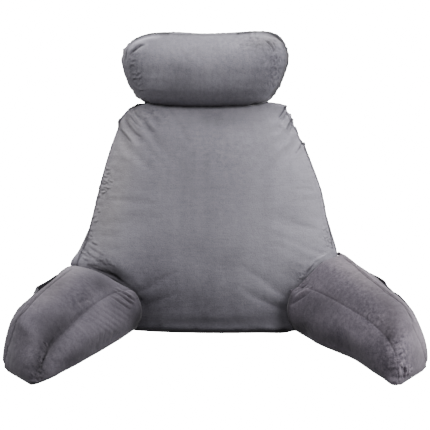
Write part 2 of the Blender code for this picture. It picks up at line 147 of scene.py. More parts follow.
def makeVelour(name):
    look = {**velourBase, **velourLook[name]}
    material = bpy.data.materials.new(name)
    material.use_nodes = True
    tree = material.node_tree
    shader = tree.nodes["Principled BSDF"]
    place = addNode(tree, "ShaderNodeTexCoord").outputs["Object"]

    # what the mesh keeps for each of its points
    kept = {what: addNode(tree, "ShaderNodeAttribute", {"attribute_name": what}).outputs["Fac"]
            for what in ("pileAndPaintedLight", "crushed", "faded", "foldShade", "seamDistance")}

    def speckle(size, detail, share, stretch=None):
        # noise about nought, "share" high from trough to crest
        source = place
        if stretch:
            source = addNode(tree, "ShaderNodeMapping", {"Scale": [size / s for s in stretch]},
                             {"Vector": place}).outputs[0]
        noise = addNode(tree, "ShaderNodeTexNoise",
                        {"Scale": 1 / size, "Detail": detail, "Roughness": 0.6},
                        {"Vector": source})
        centred = addNode(tree, "ShaderNodeMapRange",
                          {"From Min": 0.3, "From Max": 0.7, "To Min": -0.5 * share,
                           "To Max": 0.5 * share}, {"Value": noise.outputs[0]})
        return centred.outputs[0], noise.outputs[0]

    broad, _ = speckle(look["blotch"], 3.0, look["broad"], look.get("drawn"))
    tufts, tuftHeight = speckle(look["tufts"], 3.0, look["mottle"])
    lines, lineHeight = speckle(look["napSize"], 2.0, look["lines"], look["nap"])
    grain, pileHeight = speckle(look["pileSize"], 1.0, look["grain"])
    tufts = addNode(tree, "ShaderNodeMath", {"operation": "MULTIPLY"},
                    {0: tufts, 1: kept["crushed"]}).outputs[0]
    # the pile's own tone with its painted light and painted shade, and the noises on top
    pileAndLight = kept["pileAndPaintedLight"]
    for part in (broad, tufts, lines, grain):
        pileAndLight = addNode(tree, "ShaderNodeMath", {"operation": "ADD", "use_clamp": True},
                      {0: pileAndLight, 1: part}).outputs[0]
    cloth = addNode(tree, "ShaderNodeMix",
                    {"data_type": "RGBA", 6: hexColour(look["laid"]), 7: hexColour(look["raisedAndLit"])},
                    {0: pileAndLight})
    aged = addNode(tree, "ShaderNodeMix",
                   {"data_type": "RGBA", "blend_type": "MULTIPLY", 7: look["fadedTint"]},
                   {0: kept["faded"], 6: cloth.outputs[2]})
    # the needle holes and the shade in a seam, from the distance kept on the mesh
    shade = addNode(tree, "ShaderNodeMapRange",
                    {"interpolation_type": "SMOOTHSTEP", "From Min": look["stitchEdge"][0],
                     "From Max": look["stitchEdge"][1], "To Min": look["stitch"], "To Max": 1.0},
                    {"Value": kept["seamDistance"]})
    unshaded = addNode(tree, "ShaderNodeMath", {"operation": "SUBTRACT", 0: 1.0},
                       {1: kept["foldShade"]})
    both = addNode(tree, "ShaderNodeMath", {"operation": "MULTIPLY"},
                   {0: shade.outputs[0], 1: unshaded.outputs[0]})
    dimmed = addNode(tree, "ShaderNodeVectorMath", {"operation": "SCALE"},
                     {0: aged.outputs[2], "Scale": both.outputs[0]})
    tree.links.new(dimmed.outputs[0], shader.inputs["Base Color"])
    tufted = addNode(tree, "ShaderNodeMath", {"operation": "MULTIPLY_ADD", 1: 1.2},
                     {0: tuftHeight, 2: pileHeight})
    height = addNode(tree, "ShaderNodeMath", {"operation": "MULTIPLY_ADD", 1: 0.5},
                     {0: lineHeight, 2: tufted.outputs[0]})
    bump = addNode(tree, "ShaderNodeBump",
                   {"Strength": look["bump"], "Distance": look["bumpHeight"]},
                   {"Height": height.outputs[0]})
    tree.links.new(bump.outputs[0], shader.inputs["Normal"])
    shader.inputs["Roughness"].default_value = look["roughness"]
    shader.inputs["Specular IOR Level"].default_value = look["specular"]
    shader.inputs["Sheen Weight"].default_value = look["sheen"]
    shader.inputs["Sheen Roughness"].default_value = look["sheenRoughness"]
    shader.inputs["Sheen Tint"].default_value = hexColour(look["sheenTint"])
    return material


# lines that the pattern pieces are sewn along, in metres

def smoothLine(points, spacing=0.0015):
    # a smooth curve through the points, cut into even short runs
    points = [Vector(p) for p in points]
    dense = []
    last = len(points) - 1
    steps = 16      # between one point and the next
    for i in range(last):
        p0, p1 = points[max(i - 1, 0)], points[i]
        p2, p3 = points[i + 1], points[min(i + 2, last)]
        for k in range(steps):
            t = k / steps
            dense.append(0.5 * (2 * p1 + (p2 - p0) * t + (2 * p0 - 5 * p1 + 4 * p2 - p3) * t ** 2
                                + (3 * p1 - p0 - 3 * p2 + p3) * t ** 3))
    dense.append(points[-1])
    run = np.concatenate([[0.0], np.cumsum([(b - a).length for a, b in zip(dense, dense[1:])])])
    even = np.linspace(0.0, run[-1], max(int(run[-1] / spacing), 2))
    table = np.array(dense)
    return np.stack([np.interp(even, run, table[:, k]) for k in range(3)], axis=1), even


backCut = {
    "frontFoot": -0.112, "frontLean": math.radians(18.7),
    "rearFoot": 0.132, "rearLean": math.radians(-1.5), "drawnIn": 0.012, "rearHeight": 0.93,
    "dips": [(0.15, 0.007), (0.50, 0.009), (0.85, 0.007)],   # share of the top edge, dip
    "seam": [   # height, out to the left, out to the right
        (0.005, 0.244, 0.220), (0.045, 0.268, 0.238), (0.095, 0.274, 0.240),
        (0.130, 0.264, 0.236), (0.160, 0.247, 0.226), (0.200, 0.234, 0.213),
        (0.250, 0.222, 0.203), (0.305, 0.207, 0.180), (0.350, 0.192, 0.161),
        (0.385, 0.180, 0.143), (0.402, 0.165, 0.135), (0.409, 0.151, 0.133),
        (0.414, 0.128, 0.100)],
    # the boxing comes round to the front by this much: height, on the left, on the right
    "inset": [(0.0, 0.006, 0.003), (0.130, 0.010, 0.003), (0.160, 0.008, 0.0035),
              (0.200, 0.002, 0.0035), (0.385, 0.002, 0.0035), (0.414, 0.0, 0.0)],
}
armCut = {
    "cornerX": 0.151, "cornerY": -0.105, "innerTip": 0.308, "outerTip": 0.269, "lead": 0.004,
    "splay": {"left": math.radians(28.9), "right": math.radians(29.7)},
    "tipFoot": {"left": -0.001, "right": 0.0},   # how far out the tip of the inner foot is
    "nose": [(0.35, 0.92), (0.70, 0.62)],   # share of its height, share of its reach
    "left": [   # along, inner height, outer out, outer height, foot out, inner out
        (-0.100, 0.086, 0.114, 0.112, 0.116, -0.004), (0.000, 0.088, 0.112, 0.117, 0.116, -0.002),
        (0.050, 0.093, 0.108, 0.123, 0.115, 0.004), (0.100, 0.091, 0.093, 0.124, 0.104, 0.007),
        (0.150, 0.083, 0.083, 0.122, 0.096, 0.008), (0.200, 0.071, 0.075, 0.115, 0.094, 0.008),
        (0.240, 0.056, 0.070, 0.107, 0.099, 0.008), (0.266, 0.036, 0.066, 0.092, 0.098, 0.008)],
    "right": [
        (-0.100, 0.090, 0.104, 0.140, 0.114, -0.004), (0.000, 0.091, 0.100, 0.139, 0.114, -0.002),
        (0.050, 0.095, 0.094, 0.133, 0.113, 0.005), (0.100, 0.094, 0.088, 0.128, 0.107, 0.008),
        (0.150, 0.092, 0.081, 0.121, 0.100, 0.008), (0.200, 0.088, 0.072, 0.112, 0.096, 0.008),
        (0.240, 0.080, 0.065, 0.101, 0.097, 0.008), (0.266, 0.070, 0.059, 0.087, 0.096, 0.008)],
}
rollCut = {
    "middle": -0.019, "seamY": 0.062, "top": 0.543, "dip": 0.003,
    "seam": [   # height, out to the left, out to the right
        (0.396, 0.078, 0.088), (0.405, 0.102, 0.109), (0.416, 0.130, 0.129),
        (0.437, 0.146, 0.144), (0.467, 0.156, 0.153), (0.492, 0.160, 0.159), (0.513, 0.154, 0.155),
        (0.532, 0.132, 0.146), (0.541, 0.102, 0.126)],
}


def insetAt(height):
    # how far in from the outline the back's front seam lies, on the left and on the right
    rows = np.array(backCut["inset"])
    return [np.interp(height, rows[:, 0], rows[:, k]) for k in (1, 2)]


def backSeams():
    found = []
    for foot, lean, drawnIn, scale in (
            (backCut["frontFoot"], backCut["frontLean"], 0.0, 1.0),
            (backCut["rearFoot"], backCut["rearLean"], backCut["drawnIn"], backCut["rearHeight"])):
        rows = [(h * scale, foot + h * scale * math.tan(lean), a, b) for h, a, b in backCut["seam"]]
        inset = [(0.0, 0.0) if drawnIn else insetAt(z) for z, y, a, b in rows]
        left = [Vector((i[0] - a + drawnIn, y, z)) for (z, y, a, b), i in zip(rows, inset)]
        right = [Vector((b - i[1] - drawnIn, y, z)) for (z, y, a, b), i in zip(rows, inset)]
        top = [left[-1].lerp(right[-1], share) - Vector((0, 0, dip))
               for share, dip in backCut["dips"]]
        found += [left, right, [left[-1], *top, right[-1]]]
    return [smoothLine(points) for points in found]


def armFrame(side):
    hand = -1.0 if side == "left" else 1.0
    splay = armCut["splay"][side]
    corner = Vector((hand * armCut["cornerX"], armCut["cornerY"], 0.0))
    along = Vector((hand * math.sin(splay), -math.cos(splay), 0.0))
    out = Vector((hand * math.cos(splay), math.sin(splay), 0.0))
    return corner, along, out


def armSeams(side):
    corner, along, out = armFrame(side)
    rows = armCut[side]

    def place(a, o, z):
        return corner + along * a + out * o + Vector((0, 0, z))

    def noseLine(head, tip, footOut):
        points = [(tip, footOut, 0.005)]
        for lift, reach in armCut["nose"]:
            points.append((head[0] + (tip - head[0]) * reach, footOut + (head[1] - footOut) * lift,
                           0.005 + (head[2] - 0.005) * lift))
        return [place(*p) for p in points] + [place(*head)]

    innerTop = [(r[0] + armCut["lead"], r[5], r[1]) for r in rows]
    outerTop = [(r[0], r[2], r[3]) for r in rows]
    innerNose = noseLine(innerTop[-1], armCut["innerTip"], armCut["tipFoot"][side])
    outerNose = noseLine(outerTop[-1], armCut["outerTip"], rows[-1][4])
    return [smoothLine([place(*p) for p in innerTop]), smoothLine(innerNose),
            smoothLine([place(*p) for p in outerTop]), smoothLine(outerNose)]


def rollSeams():
    def at(out, height):
        return Vector((rollCut["middle"] + out, rollCut["seamY"], height))

    left = [at(-a, h) for h, a, b in rollCut["seam"]]
    right = [at(b, h) for h, a, b in rollCut["seam"]]
    shoulders = [left[-1].lerp(right[-1], share) for share in (0.2, 0.8)]
    for point in shoulders:
        point.z = rollCut["top"]
    top = [left[-1], shoulders[0], at(0.0, rollCut["top"] - rollCut["dip"]), shoulders[1],
           right[-1]]
    return [smoothLine(left), smoothLine(right), smoothLine(top)]


# cushions

coverMake = {   # what holds for every cushion, in metres unless the note says otherwise
    "weld": 0.00005, "pressure": 4.0, "frames": 20, "stiffness": 0.5, "quality": 5, "pin": 2.0,
    "search": 0.03,           # how far off seams and other cushions are looked for
    "gatherSearch": 0.04, "outSearch": 0.012,
    "foot": 0.002,            # lower than this nothing is sewn or tucked
    "floorHold": 0.004,       # cloth lower than this stays on the floor
    "seamHold": 0.006,        # cloth nearer a seam than this is sewn fast
    "free": (0.004, 0.016),   # it starts smaller from this far off a seam, fully so this much on
    "outAtSeam": (1.4, 0.007), "outAtFoot": (1.3, 0.020),   # share, and over what distance
    "refine": 0.006, "refineAcross": 0.004,
    "clear": 0.0003,          # left between two cushions
    "smooth": 0.8, "tuckRounds": 12,     # weight of any smoothing, and its rounds at a joint
    "tuckRise": 0.02, "tuckShade": 0.004,
    "darkest": 0.95, "deepest": 0.9,
    "turnedAway": (0.10, 0.15),   # where the painted shade still shows, by the slope
}


def readPoints(mesh, what="co"):
    source = mesh.vertices if what == "co" else mesh.vertex_normals
    values = np.empty(len(mesh.vertices) * 3)
    source.foreach_get("co" if what == "co" else "vector", values)
    return values.reshape(-1, 3)


def skinOf(piece):
    return BVHTree.FromObject(piece, bpy.context.evaluated_depsgraph_get())


def writePoints(mesh, points):
    points[:, 2] = np.maximum(points[:, 2], 0.0)      # nothing sinks into the floor
    mesh.vertices.foreach_set("co", points.ravel())
    mesh.update()


def nearLine(points, lines, reach):
    # for each point: how far off the nearest line it is, which line, and how far along it
    tree = KDTree(sum(len(line) for line, run in lines))
    owner, place, count = [], [], 0
    for number, (line, run) in enumerate(lines):
        for point, along in zip(line, run):
            tree.insert(point, count)
            owner.append(number)
            place.append(along)
            count += 1
    tree.balance()
    far = np.full(len(points), 1.0)      # a metre stands for nothing near
    which = np.full(len(points), -1)
    along = np.zeros(len(points))
    allOfThem = np.concatenate([line for line, run in lines])
    boxed = np.all((points > allOfThem.min(axis=0) - reach)
                   & (points < allOfThem.max(axis=0) + reach), axis=1)
    for index in np.flatnonzero(boxed):
        _, found, distance = tree.find(points[index])
        if distance < reach:
            far[index], which[index], along[index] = distance, owner[found], place[found]
    return far, which, along


def copyOfNode(nodeName, pieceName):
    # a welded copy of a CAD solid, to be reworked as cloth
    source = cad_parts[nodeName]
    piece = bpy.data.objects.new(pieceName, source.data.copy())
    scene.collection.objects.link(piece)
    piece.data.materials.clear()
    selectOnly(piece)
    bpy.ops.object.mode_set(mode="EDIT")
    bpy.ops.mesh.select_all(action="SELECT")
    bpy.ops.mesh.remove_doubles(threshold=coverMake["weld"])
    bpy.ops.object.mode_set(mode="OBJECT")
    return piece


def puff(piece, make, seams):
    # blow the cushion up inside its cover: remesh, hold the seams, press from inside
    selectOnly(piece)
    cutShape = skinOf(piece)
    piece.data.remesh_voxel_size = make["voxel"]
    bpy.ops.object.voxel_remesh()
    mesh = piece.data
    start = readPoints(mesh)
    normals = readPoints(mesh, "normal")
    far, _, _ = nearLine(start, seams, coverMake["search"])
    onFloor = start[:, 2] < coverMake["floorHold"]
    free = np.clip((far - coverMake["free"][0]) / coverMake["free"][1], 0.0, 1.0)
    free[onFloor] = 0.0
    start = start - normals * (make["smaller"] * free)[:, None]
    writePoints(mesh, start)
    held = piece.vertex_groups.new(name="sewn")
    for index in range(len(start)):
        if far[index] < coverMake["seamHold"] or onFloor[index]:
            held.add([index], 1.0, "REPLACE")
    cloth = piece.modifiers.new("cover", "CLOTH")
    cloth.settings.quality = coverMake["quality"]
    cloth.settings.use_pressure = True
    cloth.settings.uniform_pressure_force = coverMake["pressure"]
    cloth.settings.shrink_min = -make["slack"]
    cloth.settings.bending_stiffness = make.get("stiffness", coverMake["stiffness"])
    cloth.settings.vertex_group_mass = "sewn"
    cloth.settings.pin_stiffness = coverMake["pin"]
    cloth.settings.effector_weights.gravity = 0.0
    cloth.collision_settings.use_collision = False
    cloth.point_cache.frame_start = 1
    cloth.point_cache.frame_end = coverMake["frames"]
    for number in range(1, coverMake["frames"] + 1):
        scene.frame_set(number)
    selectOnly(piece)
    bpy.ops.object.modifier_apply(modifier=cloth.name)
    scene.frame_set(1)
    mesh = piece.data
    moved = readPoints(mesh) - start
    length = np.linalg.norm(moved, axis=1)
    keep = np.minimum(1.0, make["cap"] / np.maximum(length, 1e-9))
    puffed = start + moved * keep[:, None]
    writePoints(mesh, puffed)
    piece.vertex_groups.clear()
    print(piece.name, "puffed, moved", round(float(length.mean()) * 1000, 1), "mm on average,",
          round(float(length.max()) * 1000, 1), "at most")
    finer = piece.modifiers.new("finer", "SUBSURF")
    finer.levels = finer.render_levels = 1
    bpy.ops.object.modifier_apply(modifier=finer.name)
    # the remesh rounds seams and feet off, so they are brought back out to where they were cut
    points = readPoints(piece.data)
    far, _, _ = nearLine(points, seams, coverMake["outSearch"])
    (seamShare, seamReach), (footShare, footReach) = coverMake["outAtSeam"], coverMake["outAtFoot"]
    pull = np.clip(np.maximum(seamShare - far / seamReach, footShare - points[:, 2] / footReach),
                   0.0, 1.0)
    for index in np.flatnonzero(pull > 0.0):
        place, normal, _, _ = cutShape.find_nearest(Vector(points[index]))
        if (Vector(points[index]) - place).dot(normal) < 0.0:
            points[index] += (np.array(place) - points[index]) * pull[index]
    # and the outline is nudged: where it shows in the picture, and the shift in metres
    for *where, shift in make["nudges"]:
        share = touched(points, [(*where, 1.0)])
        points += np.array(shift) * share[:, None]
    writePoints(piece.data, points)


def refineNear(piece, lines, reach):
    # halve the mesh beside seams and creases, so that they come out sharp
    mesh = piece.data
    far, _, _ = nearLine(readPoints(mesh), lines, reach)
    near = far < reach
    selectOnly(piece)
    bpy.ops.object.mode_set(mode="EDIT")
    bpy.ops.mesh.select_mode(type="FACE")
    bpy.ops.mesh.select_all(action="DESELECT")
    shell = bmesh.from_edit_mesh(mesh)
    for face in shell.faces:
        face.select = all(near[vert.index] for vert in face.verts)
    shell.select_flush(False)
    for face in shell.faces:
        if face.select:
            for edge in face.edges:
                edge.select = True
            for vert in face.verts:
                vert.select = True
    bmesh.update_edit_mesh(mesh)
    bpy.ops.mesh.subdivide(number_cuts=1, smoothness=0.0)
    bpy.ops.object.mode_set(mode="OBJECT")


def ripple(along, seed):
    # an uneven run of small puckers, from -1 to 1
    rng = np.random.default_rng(seed)
    total = np.zeros_like(along)
    for wave, weight in ((0.019, 0.9), (0.0125, 1.0), (0.0085, 0.6)):
        bend = 0.35 * np.sin(2 * np.pi * along / rng.uniform(0.05, 0.08) + rng.uniform(0, 6.28))
        total += weight * np.sin(2 * np.pi * along / wave + bend * 4 + rng.uniform(0, 6.28))
    gusts = 0.55 + 0.45 * np.sin(2 * np.pi * along / rng.uniform(0.07, 0.11) + rng.uniform(0, 6))
    return total / 1.6 * gusts


def sewSeams(piece, seams, looks, seed):
    # press the seams in, and gather the cloth beside them: each look has the seam's depth
    # and width, how far the gathers reach and how high they are, in mm, and where it is
    # gathered more, the run in metres from and to, and by how much
    mesh = piece.data
    points = readPoints(mesh)
    normals = readPoints(mesh, "normal")
    far, which, along = nearLine(points, seams, coverMake["gatherSearch"])
    shift = np.zeros(len(points))
    for number, (depth, width, reach, gather, *gathers) in enumerate(looks):
        here = which == number
        d = far[here] * 1000      # in mm
        groove = -depth * np.exp(-(d / width) ** 2)
        spread = np.exp(-(d / reach) ** 2) * (1 - 0.6 * np.exp(-(d / 2) ** 2))
        strength = np.full(d.shape, float(gather))
        for first, last, amount in gathers:
            inside = (along[here] > first) & (along[here] < last)
            middle, half = (first + last) / 2, (last - first) / 2
            swell = np.clip(1.3 * (1 - ((along[here] - middle) / half) ** 2), 0.0, 1.0)
            strength += np.where(inside, swell * amount, 0.0)
        shift[here] = (groove + ripple(along[here], seed + number) * spread * strength) / 1000
    shift[points[:, 2] < coverMake["foot"]] = 0.0
    points = points + normals * shift[:, None]
    writePoints(mesh, points)
    keepValues(mesh, "seamDistance", np.minimum(far, 0.02))


def keepValues(mesh, name, values):
    layer = mesh.attributes.get(name)
    if layer is None:
        layer = mesh.attributes.new(name, "FLOAT", "POINT")
    layer.data.foreach_set("value", np.asarray(values, dtype=np.float32))


def readValues(mesh, name):
    values = np.empty(len(mesh.vertices), dtype=np.float32)
    mesh.attributes[name].data.foreach_get("value", values)
    return values


def swellAt(points, middle, reach):
    # 1 in the middle, fading out with distance
    return np.exp(-(((points - np.array(middle)) / np.array(reach)) ** 2).sum(axis=1))


def paintPileAndLight(piece, points, base, paintedLightStrokes, onTop=None):
    # the pile's own tone with painted light and painted shade, 0 dark to 1 pale: each stroke has
    # its middle, its reach along the three axes, how much painted light it adds (painted shade
    # below nought), and on an arm the panel that it keeps to
    pileAndLight = np.full(len(points), base)
    for middle, reach, amount, *panel in paintedLightStrokes:
        swell = swellAt(points, middle, reach)
        if panel:
            swell *= onTop if panel[0] == "top" else 1.0 - onTop
        pileAndLight += amount * swell
    keepValues(piece.data, "pileAndPaintedLight", np.clip(pileAndLight, 0.0, 1.0))


def touched(points, touches):
    # soft touches as they show in the picture: x and y of the middle, the reach along and
    # across, the turn in degrees, and the amount
    seen = pictureOf(points)
    total = np.zeros(len(points))
    for x, y, alongReach, acrossReach, turn, amount in touches:
        angle = math.radians(turn)
        away = seen - np.array((x, y))
        along = away @ np.array([math.cos(angle), math.sin(angle)]) / alongReach
        across = away @ np.array([-math.sin(angle), math.cos(angle)]) / acrossReach
        total += amount * np.exp(-along ** 2 - across ** 2)
    return total


def rimmed(points, paintedShadeLines):
    # narrow lines of shade as they show in the picture: path, half width, amount
    seen = pictureOf(points)
    total = np.zeros(len(points))
    for path, width, amount in paintedShadeLines:
        path = np.array(path, dtype=float)
        far = np.full(len(points), 99.0)
        for start, end in zip(path, path[1:]):
            run = end - start
            share = np.clip((seen - start) @ run / (run @ run), 0.0, 1.0)
            far = np.minimum(far, np.linalg.norm(seen - start - share[:, None] * run, axis=1))
        total += amount * np.exp(-(far / width) ** 2)
    return total


def paintShadeAndMottle(piece, make):
    # painted shade: the touches and the lines of shade make the cloth darker (paler, painted
    # light, where below nought) on the side that the picture shows, and crushes leave its pile
    # uneven
    points = readPoints(piece.data)
    sight = points - np.array(cameraLook["place"])
    sight /= np.linalg.norm(sight, axis=1)[:, None]
    facing = -np.einsum("ij,ij->i", readPoints(piece.data, "normal"), sight)
    least, fully = coverMake["turnedAway"]
    shown = np.clip((facing + least) / fully, 0.0, 1.0)
    shade = touched(points, make["touches"]) + rimmed(points, make["paintedShadeLines"])
    keepValues(piece.data, "foldShade", np.minimum(shade * shown, coverMake["darkest"]))
    keepValues(piece.data, "faded", np.clip(touched(points, make["faded"]), 0.0, 1.0))
    keepValues(piece.data, "crushed", np.clip(
        make["crushed"] + touched(points, make["crushes"]), 0.0, 1.0))


def farFrom(points, neighbour, reach):
    # how far each point is from the cushion beside it, and where it would be just clear
    tree = skinOf(neighbour)
    far = np.full(len(points), 1.0)
    clear = points.copy()
    for index, point in enumerate(points):
        place, normal, _, distance = tree.find_nearest(Vector(point), reach)
        if place is None:
            continue
        far[index] = distance
        if (Vector(point) - place).dot(normal) < coverMake["clear"]:
            clear[index] = place + normal * coverMake["clear"]
    return far, clear


def relax(mesh, points, weight, rounds):
    # even out the points where the weight is above nought
    ends = np.empty(len(mesh.edges) * 2, dtype=np.int64)
    mesh.edges.foreach_get("vertices", ends)
    ends = ends.reshape(-1, 2)
    count = np.bincount(ends.ravel(), minlength=len(points))[:, None]
    for _ in range(rounds):
        total = np.zeros_like(points)
        np.add.at(total, ends[:, 0], points[ends[:, 1]])
        np.add.at(total, ends[:, 1], points[ends[:, 0]])
        points = points + (total / np.maximum(count, 1) - points) * weight[:, None]
    return points


def tuckBeside(piece, neighbour, look):
    # round the cloth in where it is sewn to the cushion beside it, and shade it there
    mesh = piece.data
    points = readPoints(mesh)
    far, _ = farFrom(points, neighbour, coverMake["search"])
    near = np.exp(-(far / look["width"]) ** 2)
    near[points[:, 2] < coverMake["foot"]] = 0.0
    writePoints(mesh, relax(mesh, points, coverMake["smooth"] * near, coverMake["tuckRounds"]))
    points = readPoints(mesh) - readPoints(mesh, "normal") * (look["depth"] * near)[:, None]
    writePoints(mesh, points)
    high = np.clip((points[:, 2] - look["above"]) / coverMake["tuckRise"], 0.0, 1.0)
    shade = look["low"] + (look["high"] - look["low"]) * high
    deepen(mesh, shade * np.exp(-(far / coverMake["tuckShade"]) ** 2))


def deepen(mesh, shade):
    # add shade to what the folds have already
    already = readValues(mesh, "foldShade")
    shade = np.clip(shade, 0.0, coverMake["deepest"])
    keepValues(mesh, "foldShade", 1.0 - (1.0 - already) * (1.0 - shade))


def laidOn(piece, lines):
    # the same lines, brought onto the surface of the cushion
    tree = skinOf(piece)
    return [(np.array([tree.find_nearest(Vector(p))[0] for p in line]), run)
            for line, run in lines]


def layOn(piece, neighbour, below, fading, sink):
    # let a piece sink onto its neighbour, and flatten it where they touch
    points = readPoints(piece.data)
    points[:, 2] -= sink * np.clip((below - points[:, 2]) / fading, 0.0, 1.0)
    writePoints(piece.data, farFrom(points, neighbour, 0.02)[1])


def crease(depth, width, dark, light, *paths, heap=0.7, ends=(0.25, 0.35), outline=False):
    # creases of one kind: depth and width in mm, how dark the painted shade in the trough and how
    # pale the painted highlight on the ridge is, the paths in the picture, how high the cloth is
    # heaped beside the trough, and over what share of its length each end fades; a path on the
    # outline may run just past it
    return {"depth": depth, "width": width, "dark": dark, "light": light, "paths": paths,
            "heap": heap, "ends": ends, "outline": outline}


def crumples(path, spread, count, length, seed, turn=(0.0, 180.0)):
    # short creases strewn beside a path of the picture, turned by so many degrees
    rng = np.random.default_rng(seed)
    path = np.array(path, dtype=float)
    strewn = []
    for _ in range(count):
        step = rng.uniform(0.0, len(path) - 1.001)
        start, share = int(step), step % 1.0
        middle = path[start] + (path[start + 1] - path[start]) * share
        middle = middle + rng.normal(0.0, spread, 2)
        angle = math.radians(rng.uniform(*turn))
        half = length * rng.uniform(0.3, 0.7) * np.array([math.cos(angle), math.sin(angle)])
        bow = rng.uniform(-0.25, 0.25) * np.array([-half[1], half[0]])
        strewn.append([tuple(middle - half), tuple(middle + bow), tuple(middle + half)])
    return strewn


def creaseLines(piece, kinds, before=None):
    # creases given as they show in the picture, laid on the surface of the cushion, and
    # left out where the piece "before" it hides them
    eye = cameraLook["place"]
    edgeOn, hidden = -0.1, 0.002      # too far round the side, and so far behind the other
    depths = [1.9 + 0.02 * k for k in range(40)]      # from the camera, in metres
    trees = [skinOf(item) for item in (piece, before) if item]
    tree = trees[0]
    creases, lines = [], []
    for kind in kinds:
        for path in kind["paths"]:
            found = []
            for x, y in path:
                aim = sightLine(x, y)
                hit, normal, _, _ = tree.ray_cast(eye, aim)
                if hit is not None and normal.dot(aim) > edgeOn and not kind["outline"]:
                    continue      # too far round the side
                cover = trees[-1].ray_cast(eye, aim)[3] if before else None
                if hit is None and cover is None and kind["outline"]:
                    # just past the outline: the nearest place on the cushion serves
                    best = min((eye + aim * far for far in depths),
                               key=lambda p: tree.find_nearest(p)[3])
                    hit = tree.find_nearest(best)[0]
                if hit is None or (cover is not None and cover < (hit - eye).length - hidden):
                    continue
                found.append(hit)
            if len(found) > 1:
                creases.append(kind)
                lines.append(smoothLine(found))
    return creases, lines


def pressCreases(piece, creases, lines):
    # each crease is a trough with the cloth heaped up on one side of it, with painted shade at its
    # bottom and a painted highlight on its ridge; with a depth below nought it is a ridge alone
    mesh = piece.data
    points = readPoints(mesh)
    normals = readPoints(mesh, "normal")
    total, shade, lift = (np.zeros(len(points)) for _ in range(3))
    ridgeAt, ridgeWidth, farthest = 1.7, 1.1, 4.5      # in widths of the crease
    pastEnd = 0.003
    for kind, (line, run) in zip(creases, lines):
        width, depth = kind["width"] / 1000, kind["depth"] / 1000
        far, which, along = nearLine(points, [(line, run)], width * farthest)
        here = which == 0
        index = np.clip(np.searchsorted(run, along[here]), 1, len(run) - 1)
        tangent = line[index] - line[index - 1]
        tangent /= np.maximum(np.linalg.norm(tangent, axis=1), 1e-9)[:, None]
        sideways = np.cross(normals[here], tangent)
        away = points[here] - line[index]
        d = far[here] * np.sign(np.einsum("ij,ij->i", away, sideways)) / width
        share = along[here] / run[-1]
        first, last = kind["ends"]
        taper = np.clip(share / first, 0, 1) * np.clip((1 - share) / last, 0, 1)
        beyond = np.abs(np.einsum("ij,ij->i", away, tangent))
        taper = np.where((share < 0.001) | (share > 0.999),
                         taper * np.exp(-(beyond / pastEnd) ** 2), taper) ** 0.7
        trough = np.exp(-d ** 2)
        ridge = np.exp(-((d - ridgeAt) / ridgeWidth) ** 2)
        if depth < 0:
            total[here] -= depth * trough * taper
            lift[here] += kind["light"] * trough * taper
        else:
            total[here] += depth * (kind["heap"] * ridge - trough) * taper
            lift[here] += kind["light"] * ridge * taper
            shade[here] = np.maximum(shade[here], kind["dark"] * trough * taper)
    points = points + normals * total[:, None]
    writePoints(mesh, points)
    keepValues(mesh, "pileAndPaintedLight", np.clip(readValues(mesh, "pileAndPaintedLight") + lift, 0.0, 1.0))
    deepen(mesh, shade)


def sewCushion(piece, make, seams):
    # sew a stuffed cushion, and find the lines of its creases
    seams = laidOn(piece, seams)
    creases, runs = creaseLines(piece, make["creases"])
    refineNear(piece, seams + runs, coverMake["refine"])
    sewSeams(piece, seams, make["seams"], make["seed"])
    return creases, runs


def finishCushion(piece, material, nodes):
    piece.data.materials.append(material)
    selectOnly(piece)
    bpy.ops.object.shade_smooth()
    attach(piece, "root")
    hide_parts(*nodes)
    print(piece.name, "done,", len(piece.data.polygons), "faces")


